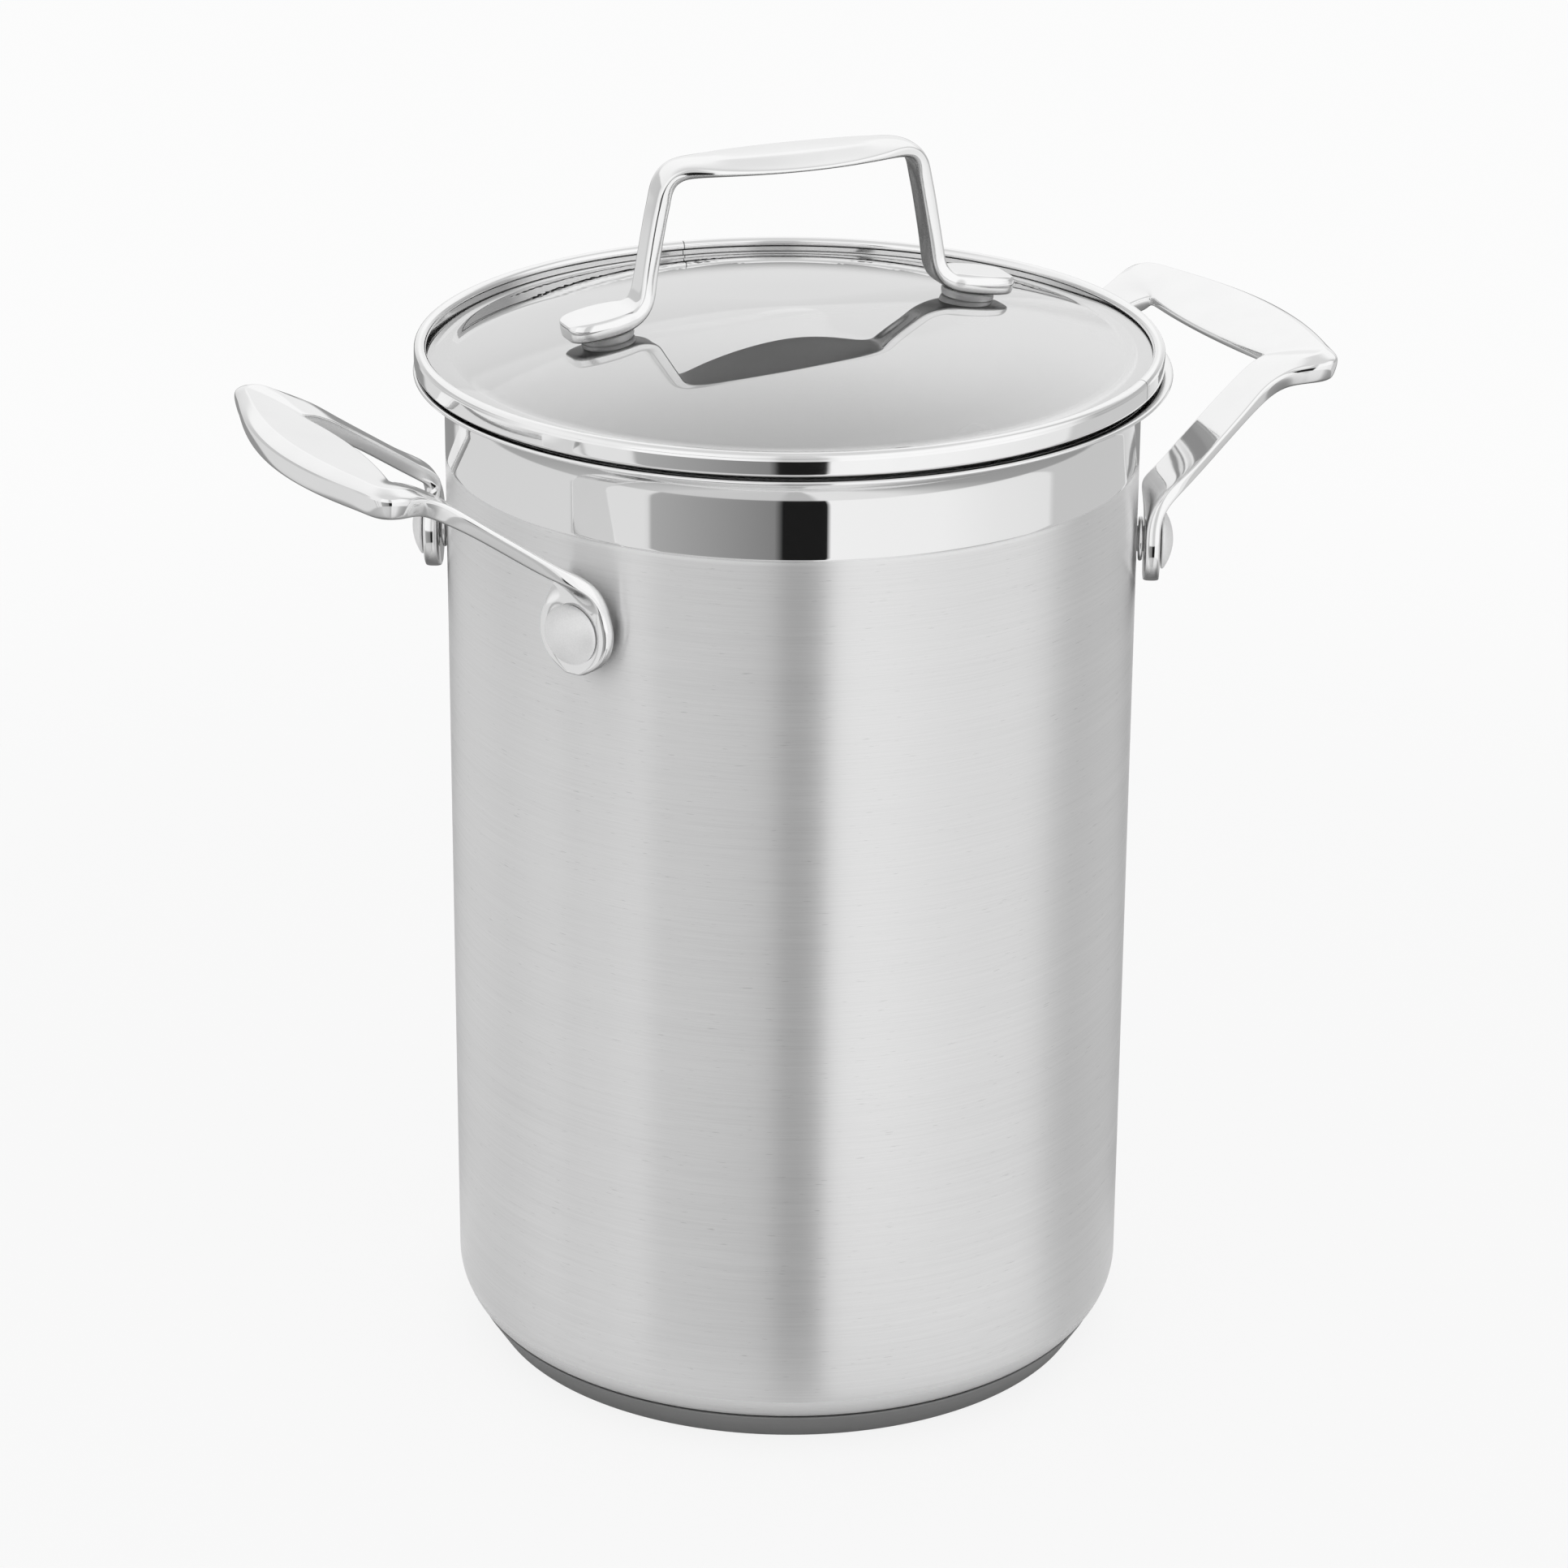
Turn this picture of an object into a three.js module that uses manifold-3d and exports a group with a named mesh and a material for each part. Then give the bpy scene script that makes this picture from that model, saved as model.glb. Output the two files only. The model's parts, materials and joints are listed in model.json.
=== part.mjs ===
// Tall steaming pot with two riveted handles, a glass lid and a lift-out perforated basket.
// Millimetres, +Z up. The origin is under the pot's axis on the surface it stands on, and the
// side handles and the lid's handle lie along X.
import * as THREE from 'three';
import { mergeVertices } from 'three/addons/utils/BufferGeometryUtils.js';
import Module from 'manifold-3d';

// Fits
const CONTACT_GAP = 0.3; // between pieces that rest on each other
const GROOVE_GAP = 0.1; // between the rings that lie in the lid band's groove
const HOLE_CLEARANCE = 0.3; // around shanks, screws and hinge pins, on the radius
const CUT_MARGIN = 2; // how far a cutting shape runs past what it cuts

// Roundness
const ROUND_SIDES = 48;
const SMALL_SIDES = 16;
const STUD_SIDES = 10;
const HOLE_SIDES = 6;
const WIRE_QUARTER_STEPS = 4; // curve steps in each half of a wire's section
const CURVE_STEPS = 4;
const CORNER_STEPS = 3; // small corners and domed heads
const DOME_STEPS = 5;
const BEAD_STEPS = 3; // curve steps in a quarter of the lid band's bead
const DOME_SPACING = 0.7; // draws the dome's rings closer together towards its edge

// Pot
const POT_RADIUS = 81; // outside of the straight wall
const POT_WALL = 1;
const POT_HEIGHT = 242.3; // to the top of the pouring lip
const POT_FLARE = 6.5; // radius of the lip's underside
const POT_LIP = 0.6; // flat edge past the flare
const POT_CORNER = 13; // outside radius where the wall turns in to the base
const SEAM_INSET = 3.9; // seam of the base cap, in from the straight wall
const SEAM_RISE = 1.37; // seam above the underside of the pot's floor
const SEAM_LEDGE = 2.2; // ledge that the cap's edge comes up under
const CAP_SHEET = 0.8;
const CAP_TAPER = 3.85; // footprint in from the seam
const CAP_EDGE = 0.7; // chamfer around the footprint
const CORE_THICK = 4.8; // heat-spreading disc

// Rivets and side handles
const RIVET_ANGLE = THREE.MathUtils.degToRad(29); // each side of the handle's axis
const RIVET_DROP = 41.3; // below the top of the lip
const RIVET_SHANK = 3;
const RIVET_HEAD_RADIUS = 7;
const RIVET_HEAD_RISE = 2.8;
const RIVET_INNER_RADIUS = 6;
const RIVET_INNER_THICK = 1.5;
const SPACER_RADIUS = 5.25;
const SPACER_THICK = 1;
const LUG_RADIUS = 9.8;
const LUG_THICK = 3.8;
const LUG_NECK = 7.5; // half width of the lug where the arm leaves it
const LUG_RISE = 9.5; // top of the lug above the rivet
const STRAP_THICK = 2.9;
const PADDLE_THICK = 6.4; // at its outer edge
const ARM_HALF_WIDTH = 6.6;
const ARM_OFFSET = 1.6; // arm's root, outward from the rivet
const ARM_RISE = 8.6; // arm's middle above the rivet, where it leaves the lug
const KNEE_REACH = 30.8; // arm meets paddle, out from the pot's wall
const KNEE_RISE = 34.2;
const KNEE_SPREAD = 33.1; // arm's middle from the handle's axis at the knee
const PADDLE_REACH = 49.6; // outer edge of the paddle, out from the pot's wall
const PADDLE_RISE = 37.4; // middle of the outer edge above the rivet
const PADDLE_BOW = 102; // radius of the outer edge seen from above
const PADDLE_HALF_LENGTH = 50.5;
const PADDLE_SHOULDER = 44; // where the outer edge turns into the rounded end
const PADDLE_END_REACH = 31.3; // rounded end, out from the pot's wall
const PADDLE_BULGE = 2.4; // inner edge, bowed towards the pot
const PADDLE_NECK_ROUND = 1; // tightens the turn from arm to paddle

// Lid
const BAND_SHEET = 0.65;
const BAND_SETBACK = 1.1; // band's outer edge, in from the pot's lip
const BAND_CROWN = 2.15; // band's crown above the edge of the glass
const BAND_ROUND = 1.4; // rounding over and under the band's outer face
const BAND_SEAT_INSET = 5.45; // step that keeps the lid in the flare, in from the pot's lip
const BAND_SEAT_WIDTH = 4.5;
const SEAL_WIDTH = 3;
const GLASS_THICK = 2.9;
const GLASS_EDGE_GAP = 0.3; // glass edge to the inside of the band
const GLASS_RISE = 9.75; // crown above the flat edge
const DOME_INSET = 8.5; // dome starts in from the band's outer edge
const DOME_FULLNESS = 2.5;
const LID_TURN = THREE.MathUtils.degToRad(-3.3); // lid as it was put down, against the side handles
const LID_SHIFT = 0.85; // and off the pot's axis
const LID_SHIFT_WAY = THREE.MathUtils.degToRad(153.4);

// Lid handle
const SCREW_REACH = 45.3; // screws from the lid's axis
const SCREW_SHANK = 2;
const SCREW_BITE = 3.6; // length held in the handle's foot
const SCREW_HEAD_RADIUS = 4.5;
const SCREW_HEAD_THICK = 2.2;
const SCREW_HEAD_EDGE = 1; // chamfer under the head
const WASHER_RADIUS = 6.2;
const WASHER_THICK = 1.5; // above the glass, at the screw
const UNDER_WASHER_RADIUS = 5.8;
const UNDER_WASHER_THICK = 1.4;
const FOOT_TIP = 55.9; // end of the foot from the lid's axis
const FOOT_HEEL = 40; // where its underside meets the bend of the leg
const FOOT_THICK = 4.6;
const FOOT_HALF_WIDTH = 7.2;
const FOOT_ROUND = 1.2; // chamfer on the foot's tip
const LEG_FOOT_REACH = 34.4; // inner face of the leg, low down
const LEG_TOP_REACH = 30.8; // and under the grip
const LEG_THICK = 3;
const LEG_HALF_WIDTH = 3.2;
const LEG_BEND = 7; // height of the bend from foot to leg
const GRIP_CLEARANCE = 34.2; // under the grip, above the foot's underside
const GRIP_THICK = 4.2;
const GRIP_CORNER = 6;
const GRIP_HALF_WIDTH = 10.5;

// Basket
const BASKET_GAP = 6; // pot's inside to the basket's outside
const BASKET_SHEET = 0.8;
const BASKET_HEIGHT = 170;
const BASKET_CORNER = 8;
const BASKET_BEAD = 2.2; // rolled edge, out from the wall
const BASKET_BEAD_HEIGHT = 4;
const BASKET_BEAD_EDGE = 1; // chamfer of the rolled edge
const BASKET_FOOT_HEIGHT = 5.7;
const BASKET_FOOT_RADIUS = 5.5;
const BASKET_FOOT_TAPER = 1.5;
const BASKET_FOOT_CIRCLE = 58;
const BASKET_FEET = 3;
const PERFORATION_RADIUS = 4;
const PERFORATION_COLUMNS = 12;
const PERFORATION_ROWS = 6;
const PERFORATION_PITCH = 22; // between rows
const PERFORATION_START = 20; // lowest row above the basket's floor
const FLOOR_RINGS = [{ radius: 20, holes: 5 }, { radius: 42, holes: 9 }];

// Basket brackets and folding handles
const BRACKET_DROP = 8; // top of the bracket below the basket's edge
const BRACKET_HEIGHT = 14;
const BRACKET_SHEET = 1;
const BRACKET_MARGIN = 2; // plate past the outside of the ears
const EAR_RADIUS = 4;
const EAR_THICK = 3;
const PIVOT_INSET = 7.4; // hinge line, in from the basket's wall
const WIRE_RADIUS = 1.8;
const WIRE_PIN_END = 0.8; // pin past the ear
const WIRE_EAR_GAP = 2.5; // wire's side to the ear
const RING_HALF_WIDTH = 16; // middle of the wire's sides
const RING_DROP = 40;
const RING_CORNER = 11;
const RING_PIN_CORNER = 3.5;
const RING_STEPS = 76;
const STUD_ANGLE = THREE.MathUtils.degToRad(6); // bracket rivets, each side of the middle
const STUD_SHANK = 1.5;
const STUD_HEAD_RADIUS = 3.2;
const STUD_HEAD_RISE = 1.3;

// Places worked out from the sizes above
const potInside = POT_RADIUS - POT_WALL;
const flareFoot = POT_HEIGHT - POT_WALL - POT_FLARE;
const flareCentre = POT_RADIUS + POT_FLARE;
const lipRadius = flareCentre + POT_LIP;
const floorUnder = CAP_SHEET + CONTACT_GAP + CORE_THICK + CONTACT_GAP;
const floorTop = floorUnder + POT_WALL;
const seamRadius = POT_RADIUS - SEAM_INSET;
const seamHeight = floorUnder + SEAM_RISE;
const footprintRadius = seamRadius - CAP_TAPER;
const cornerAngle = Math.acos(1 - SEAM_INSET / POT_CORNER);
const cornerHeight = seamHeight + POT_CORNER * Math.sin(cornerAngle);

const rivetHeight = POT_HEIGHT - RIVET_DROP;
const spacerInside = POT_RADIUS + CONTACT_GAP;
const lugInside = spacerInside + SPACER_THICK + CONTACT_GAP;
const lugOutside = lugInside + LUG_THICK;

const wasm = await Module();
wasm.setup();

// Steel, glass, silicone and aluminium as they look
function metal(name, color, roughness) {
  return new THREE.MeshStandardMaterial({ name, color, roughness, metalness: 1 });
}
const POLISHED_STEEL = metal('polished_steel', 0xd6d7d8, 0.12);
const BRUSHED_STEEL = metal('brushed_steel', 0xc9cacb, 0.38);
const SATIN_STEEL = metal('satin_steel', 0xcfcfce, 0.5);
const BASE_STEEL = metal('base_steel', 0x8f8f8f, 0.45);
const BASKET_STEEL = metal('basket_steel', 0xc4c6c8, 0.25);
const ALUMINIUM = metal('aluminium', 0xb9bcc0, 0.55);
const CLEAR_GLASS = new THREE.MeshStandardMaterial({
  name: 'clear_glass', color: 0xe4ebea, roughness: 0.03, transparent: true, opacity: 0.3,
});
const SILICONE = new THREE.MeshStandardMaterial({ name: 'silicone', color: 0xdfe3e4, roughness: 0.35 });

// A closed body from any three.js geometry, with its shared corners joined
function bodyOf(geometry) {
  geometry.deleteAttribute('normal');
  geometry.deleteAttribute('uv');
  const merged = mergeVertices(geometry);
  const corners = merged.index.array;
  const triVerts = [];
  for (let i = 0; i < corners.length; i += 3) {
    const [a, b, c] = corners.slice(i, i + 3);
    if (a !== b && b !== c && c !== a) triVerts.push(a, b, c);
  }
  const vertProperties = Float32Array.from(merged.attributes.position.array);
  return new wasm.Manifold(new wasm.Mesh({
    numProp: 3, vertProperties, triVerts: Uint32Array.from(triVerts),
  }));
}

// The geometry of a closed body
function geometryOf(body) {
  const mesh = body.getMesh();
  const geometry = new THREE.BufferGeometry();
  geometry.setAttribute('position', new THREE.BufferAttribute(mesh.vertProperties, mesh.numProp));
  geometry.setIndex(new THREE.BufferAttribute(mesh.triVerts, 1));
  geometry.computeVertexNormals();
  return geometry;
}

// Points of an arc in a profile, from one angle to another
function arc(centreR, centreZ, radius, from, to, steps = CURVE_STEPS) {
  return Array.from({ length: steps + 1 }, (_, i) => {
    const angle = from + (to - from) * i / steps;
    return [centreR + radius * Math.cos(angle), centreZ + radius * Math.sin(angle)];
  });
}

// A profile of [radius, height] points turned about Z. It runs from axis to axis, or is a ring.
function turned(profile, sides) {
  const points = profile.map(([radius, height]) => new THREE.Vector2(radius, height));
  const isRing = points[0].x > 0;
  if (isRing) points.push(points[0].clone());
  return new THREE.LatheGeometry(points, sides).rotateX(Math.PI / 2);
}

// The same, turned about X, with the profile's heights measured out along +X
function turnedAboutX(profile, sides) {
  return turned(profile, sides).rotateY(Math.PI / 2);
}

function disc(radius, bottom, top) {
  return [[0, bottom], [radius, bottom], [radius, top], [0, top]];
}

// Straight extrusions. A shape's own x and y become X and Y, X and Z, or Y and Z.
function extrudedUp(shape, bottom, top) {
  const settings = { depth: top - bottom, bevelEnabled: false, curveSegments: CURVE_STEPS };
  return new THREE.ExtrudeGeometry(shape, settings).translate(0, 0, bottom);
}

function extrudedAcross(shape, nearY, farY) {
  const turn = new THREE.Matrix4().makeBasis(
    new THREE.Vector3(1, 0, 0), new THREE.Vector3(0, 0, 1), new THREE.Vector3(0, -1, 0));
  return extrudedUp(shape, -farY, -nearY).applyMatrix4(turn);
}

function extrudedOut(shape, nearX, farX) {
  const turn = new THREE.Matrix4().makeBasis(
    new THREE.Vector3(0, 1, 0), new THREE.Vector3(0, 0, 1), new THREE.Vector3(1, 0, 0));
  return extrudedUp(shape, nearX, farX).applyMatrix4(turn);
}

function outline(points) {
  return new THREE.Shape(points.map(([x, y]) => new THREE.Vector2(x, y)));
}

function piece(name, geometry, material) {
  const mesh = new THREE.Mesh(geometry, material);
  mesh.name = name;
  return mesh;
}

// A round cut along X at a height, turned about the pot's axis
function radialCut(radius, inside, outside, height, angle, sides = SMALL_SIDES) {
  const cut = turnedAboutX(disc(radius, inside, outside), sides);
  return bodyOf(cut.translate(0, 0, height).rotateZ(angle));
}

const handleTurns = { right: 0, left: Math.PI };

// The two fixings of a handle or bracket, each side of its middle, with the front one towards -Y
function fixingTurns(side, angle) {
  const turn = side === 'right' ? angle : -angle;
  return { front: -turn, back: turn };
}

// Pot body: base ledge, rounded corner, straight wall and flared lip, with its rivet holes
function potBody() {
  const insideCorner = cornerHeight - floorTop;
  const profile = [
    [0, floorUnder],
    [seamRadius - SEAM_LEDGE, floorUnder],
    [seamRadius - SEAM_LEDGE, seamHeight],
    ...arc(POT_RADIUS - POT_CORNER, cornerHeight, POT_CORNER, -cornerAngle, 0),
    ...arc(flareCentre, flareFoot, POT_FLARE, Math.PI, Math.PI / 2),
    [lipRadius, POT_HEIGHT - POT_WALL],
    [lipRadius, POT_HEIGHT],
    ...arc(flareCentre, flareFoot, POT_FLARE + POT_WALL, Math.PI / 2, Math.PI),
    ...arc(potInside - insideCorner, cornerHeight, insideCorner, 0, -Math.PI / 2),
    [0, floorTop],
  ];
  let body = bodyOf(turned(profile, ROUND_SIDES));
  for (const handleTurn of Object.values(handleTurns)) {
    for (const rivetTurn of [-RIVET_ANGLE, RIVET_ANGLE]) {
      body = body.subtract(radialCut(RIVET_SHANK + HOLE_CLEARANCE, potInside - CUT_MARGIN,
        POT_RADIUS + CUT_MARGIN, rivetHeight, handleTurn + rivetTurn));
    }
  }
  return geometryOf(body);
}

// Base cap: a shallow steel dish that closes over the core
function baseCap() {
  const capTop = seamHeight - CONTACT_GAP;
  return geometryOf(bodyOf(turned([
    [0, 0],
    [footprintRadius - CAP_EDGE, 0],
    [footprintRadius, CAP_EDGE],
    [seamRadius, capTop],
    [seamRadius - CAP_SHEET, capTop],
    [footprintRadius - CAP_SHEET, CAP_SHEET],
    [0, CAP_SHEET],
  ], ROUND_SIDES)));
}

function baseCore() {
  const bottom = CAP_SHEET + CONTACT_GAP;
  const radius = footprintRadius - CAP_SHEET - CONTACT_GAP;
  return geometryOf(bodyOf(turned(disc(radius, bottom, bottom + CORE_THICK), ROUND_SIDES)));
}

// A domed head at the end of a profile turned about X, from its edge to its crown
function domedHead(radius, rise, base) {
  const ball = (radius * radius + rise * rise) / (2 * rise);
  const edge = Math.asin(radius / ball);
  return arc(0, base + rise - ball, ball, Math.PI / 2 - edge, Math.PI / 2, CORNER_STEPS);
}

// Handle rivet: flat head inside the pot, shank, domed head outside the lug
function rivet() {
  const insideFace = Math.sqrt(potInside ** 2 - RIVET_INNER_RADIUS ** 2) - CONTACT_GAP;
  const outsideFace = lugOutside + CONTACT_GAP;
  return geometryOf(bodyOf(turnedAboutX([
    [0, insideFace - RIVET_INNER_THICK],
    [RIVET_INNER_RADIUS, insideFace - RIVET_INNER_THICK],
    [RIVET_INNER_RADIUS, insideFace],
    [RIVET_SHANK, insideFace],
    [RIVET_SHANK, outsideFace],
    ...domedHead(RIVET_HEAD_RADIUS, RIVET_HEAD_RISE, outsideFace),
  ], SMALL_SIDES)));
}

function spacer() {
  const bore = RIVET_SHANK + HOLE_CLEARANCE;
  const outside = spacerInside + SPACER_THICK;
  return geometryOf(bodyOf(turnedAboutX([
    [bore, spacerInside],
    [SPACER_RADIUS, spacerInside],
    [SPACER_RADIUS, outside],
    [bore, outside],
  ], SMALL_SIDES)));
}

// Side of the strap: it climbs from the lugs to the knee and flattens out into the paddle
function strapSide(rootX, kneeX, paddleX) {
  const rootZ = rivetHeight + ARM_RISE;
  const kneeZ = rivetHeight + KNEE_RISE;
  const paddleZ = rivetHeight + PADDLE_RISE;
  const armSlope = (kneeZ - rootZ) / (kneeX - rootX);
  const paddleSlope = (paddleZ - kneeZ) / (paddleX - kneeX);
  const startX = rootX - LUG_RADIUS;
  const startZ = rootZ - armSlope * LUG_RADIUS;
  const endX = paddleX + CUT_MARGIN;
  const endZ = paddleZ + paddleSlope * CUT_MARGIN;
  const armDrop = STRAP_THICK / 2 * Math.hypot(1, armSlope);
  const kneeDrop = STRAP_THICK / 2 * Math.hypot(1, (armSlope + paddleSlope) / 2);
  const paddleDrop = PADDLE_THICK / 2;
  return outline([
    [startX, startZ - armDrop], [kneeX, kneeZ - kneeDrop], [endX, endZ - paddleDrop],
    [endX, endZ + paddleDrop], [kneeX, kneeZ + kneeDrop], [startX, startZ + armDrop],
  ]);
}

// Handle from above: two arms that close in on a broad paddle with round ends
function strapPlan(rootX, rootY, kneeX, paddleX) {
  const taper = (rootY - KNEE_SPREAD) / (kneeX - rootX);
  const startX = rootX - LUG_RADIUS;
  const startY = rootY + taper * LUG_RADIUS;
  const endX = POT_RADIUS + PADDLE_END_REACH;
  const shoulderX = paddleX - PADDLE_SHOULDER ** 2 / (2 * PADDLE_BOW);
  const tipX = (endX + shoulderX) / 2;
  const neckX = kneeX - ARM_HALF_WIDTH;
  const neckY = KNEE_SPREAD + taper * ARM_HALF_WIDTH + ARM_HALF_WIDTH;
  const kneeInside = KNEE_SPREAD - ARM_HALF_WIDTH;
  const curlX = kneeX - PADDLE_NECK_ROUND;
  const endY = PADDLE_HALF_LENGTH - PADDLE_NECK_ROUND;
  const cornerY = PADDLE_HALF_LENGTH + CUT_MARGIN;
  const plan = new THREE.Shape();
  plan.moveTo(startX, startY + ARM_HALF_WIDTH);
  plan.lineTo(neckX, neckY);
  plan.quadraticCurveTo(curlX, neckY, endX, endY);
  plan.quadraticCurveTo(tipX, cornerY, shoulderX, PADDLE_SHOULDER);
  plan.quadraticCurveTo(2 * paddleX - shoulderX, 0, shoulderX, -PADDLE_SHOULDER);
  plan.quadraticCurveTo(tipX, -cornerY, endX, -endY);
  plan.quadraticCurveTo(curlX, -neckY, neckX, -neckY);
  plan.lineTo(startX, -startY - ARM_HALF_WIDTH);
  plan.lineTo(startX, ARM_HALF_WIDTH - startY);
  plan.lineTo(kneeX, -kneeInside);
  plan.quadraticCurveTo(kneeX - 2 * PADDLE_BULGE, 0, kneeX, kneeInside);
  plan.lineTo(startX, startY - ARM_HALF_WIDTH);
  return plan;
}

// Round lug on the flat of the wall, with a neck up to its arm
function lugFace() {
  const face = new THREE.Shape();
  face.moveTo(LUG_NECK, rivetHeight + LUG_RISE);
  face.lineTo(-LUG_NECK, rivetHeight + LUG_RISE);
  face.lineTo(-LUG_RADIUS, rivetHeight);
  face.absarc(0, rivetHeight, LUG_RADIUS, Math.PI, 2 * Math.PI, false);
  return face;
}

// Side handle: bent strap and two lugs in one piece, drilled for its rivets
function sideHandle() {
  const lugMiddle = (lugInside + lugOutside) / 2;
  const rootX = lugMiddle * Math.cos(RIVET_ANGLE);
  const rootY = lugMiddle * Math.sin(RIVET_ANGLE) + ARM_OFFSET;
  const kneeX = POT_RADIUS + KNEE_REACH;
  const paddleX = POT_RADIUS + PADDLE_REACH;
  const plan = strapPlan(rootX, rootY, kneeX, paddleX);
  const halfWidth = PADDLE_HALF_LENGTH + CUT_MARGIN;
  const top = POT_HEIGHT + PADDLE_RISE;
  const strap = bodyOf(extrudedAcross(strapSide(rootX, kneeX, paddleX), -halfWidth, halfWidth));
  let body = bodyOf(extrudedUp(plan, 0, top)).intersect(strap);
  body = body.subtract(bodyOf(turned(disc(lugInside, 0, top), ROUND_SIDES)));
  for (const turn of [-RIVET_ANGLE, RIVET_ANGLE]) {
    const lug = extrudedOut(lugFace(), lugInside, lugOutside).rotateZ(turn);
    const bore = RIVET_SHANK + HOLE_CLEARANCE;
    const headRoom = RIVET_HEAD_RADIUS + HOLE_CLEARANCE;
    body = body.add(bodyOf(lug));
    const boreStart = lugInside - CUT_MARGIN;
    const boreEnd = lugOutside + CUT_MARGIN;
    body = body.subtract(radialCut(bore, boreStart, boreEnd, rivetHeight, turn));
    body = body.subtract(radialCut(headRoom, lugOutside, lugOutside + LUG_RADIUS, rivetHeight, turn));
  }
  return geometryOf(body);
}

const pot = new THREE.Group();
pot.add(piece('pot_body', potBody(), BRUSHED_STEEL));
pot.add(piece('base_cap', baseCap(), BASE_STEEL));
pot.add(piece('base_core', baseCore(), ALUMINIUM));
for (const [side, handleTurn] of Object.entries(handleTurns)) {
  const half = new THREE.Group();
  half.rotation.z = handleTurn;
  half.add(piece(`handle_${side}`, sideHandle(), POLISHED_STEEL));
  for (const [end, rivetTurn] of Object.entries(fixingTurns(side, RIVET_ANGLE))) {
    const fixing = new THREE.Group();
    fixing.rotation.z = rivetTurn;
    fixing.position.z = rivetHeight;
    fixing.add(piece(`rivet_${side}_${end}`, rivet(), SATIN_STEEL));
    fixing.add(piece(`spacer_${side}_${end}`, spacer(), POLISHED_STEEL));
    half.add(fixing);
  }
  pot.add(half);
}

// Heights in the lid, from where the band rests on the pot's lip and steps down into its flare
const bandRadius = lipRadius - BAND_SETBACK;
const channelRadius = bandRadius - BAND_ROUND;
const seatRadius = lipRadius - BAND_SEAT_INSET;
const flareTop = POT_FLARE + POT_WALL;
const flareReach = flareCentre - seatRadius - LID_SHIFT;
const seatHeight = flareFoot + Math.sqrt(flareTop ** 2 - flareReach ** 2) + CONTACT_GAP;
const grooveFloor = seatHeight + BAND_SHEET;
const bandUnder = POT_HEIGHT + CONTACT_GAP;
const grooveTop = bandUnder + BAND_SHEET;
const glassUnder = grooveTop + GROOVE_GAP;
const glassEdgeTop = glassUnder + GLASS_THICK;
const lipUnder = glassEdgeTop + CONTACT_GAP;
const crownTop = glassEdgeTop + BAND_CROWN;
const domeRadius = bandRadius - DOME_INSET;

// Band: a rolled steel bead and channel around the edge of the glass
function lidBand() {
  return geometryOf(bodyOf(turned([
    [channelRadius - BAND_ROUND, lipUnder],
    [channelRadius, lipUnder],
    [channelRadius, grooveTop],
    [seatRadius, grooveTop],
    [seatRadius - BAND_SHEET, grooveFloor],
    [seatRadius - BAND_SEAT_WIDTH, grooveFloor],
    [seatRadius - BAND_SEAT_WIDTH, seatHeight],
    [seatRadius, seatHeight],
    [seatRadius + BAND_SHEET, bandUnder],
    ...arc(channelRadius, bandUnder + BAND_ROUND, BAND_ROUND, -Math.PI / 2, 0, BEAD_STEPS),
    ...arc(channelRadius, crownTop - BAND_ROUND, BAND_ROUND, 0, Math.PI, 2 * BEAD_STEPS),
  ], ROUND_SIDES)));
}

function rimSeal() {
  const outside = seatRadius - BAND_SHEET - CONTACT_GAP;
  const bottom = grooveFloor + GROOVE_GAP;
  const top = glassUnder - GROOVE_GAP;
  return geometryOf(bodyOf(turned([
    [outside - SEAL_WIDTH, bottom],
    [outside, bottom],
    [outside, top],
    [outside - SEAL_WIDTH, top],
  ], ROUND_SIDES)));
}

// Height of the dome's top at a distance from the lid's axis
function domeTop(radius) {
  return glassEdgeTop + GLASS_RISE * (1 - (radius / domeRadius) ** DOME_FULLNESS);
}

// Dome and flat edge, grown by a margin on both faces
function glassProfile(margin, edgeRadius) {
  const radii = Array.from({ length: DOME_STEPS + 1 },
    (_, i) => domeRadius * (i / DOME_STEPS) ** DOME_SPACING);
  const top = radii.map((radius) => [radius, domeTop(radius) + margin]);
  const under = radii.map((radius) => [radius, domeTop(radius) - GLASS_THICK - margin]);
  return [
    ...under,
    [edgeRadius, glassUnder - margin],
    [edgeRadius, glassEdgeTop + margin],
    ...top.reverse(),
  ];
}

// The glass has a hole for each of the handle's screws
function lidGlass() {
  const edge = channelRadius - GLASS_EDGE_GAP;
  let body = bodyOf(turned(glassProfile(0, edge), ROUND_SIDES));
  for (const side of [-1, 1]) {
    const hole = turned(disc(SCREW_SHANK + HOLE_CLEARANCE, seatHeight, footUnder), SMALL_SIDES);
    body = body.subtract(bodyOf(hole.translate(side * SCREW_REACH, 0, 0)));
  }
  return geometryOf(body);
}

const screwGlassTop = domeTop(SCREW_REACH);
const glassMiddle = screwGlassTop - GLASS_THICK / 2;
const footUnder = screwGlassTop + WASHER_THICK + CONTACT_GAP;
const gripUnder = footUnder + GRIP_CLEARANCE;
const gripTop = gripUnder + GRIP_THICK;
const screwHeadTop = domeTop(SCREW_REACH + UNDER_WASHER_RADIUS) - GLASS_THICK - UNDER_WASHER_THICK;

// Underside of the handle's feet, which lie along the dome
function footLine(reach) {
  const slope = (screwGlassTop - domeTop(FOOT_TIP)) / (FOOT_TIP - SCREW_REACH);
  return footUnder + slope * (SCREW_REACH - reach);
}

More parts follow.
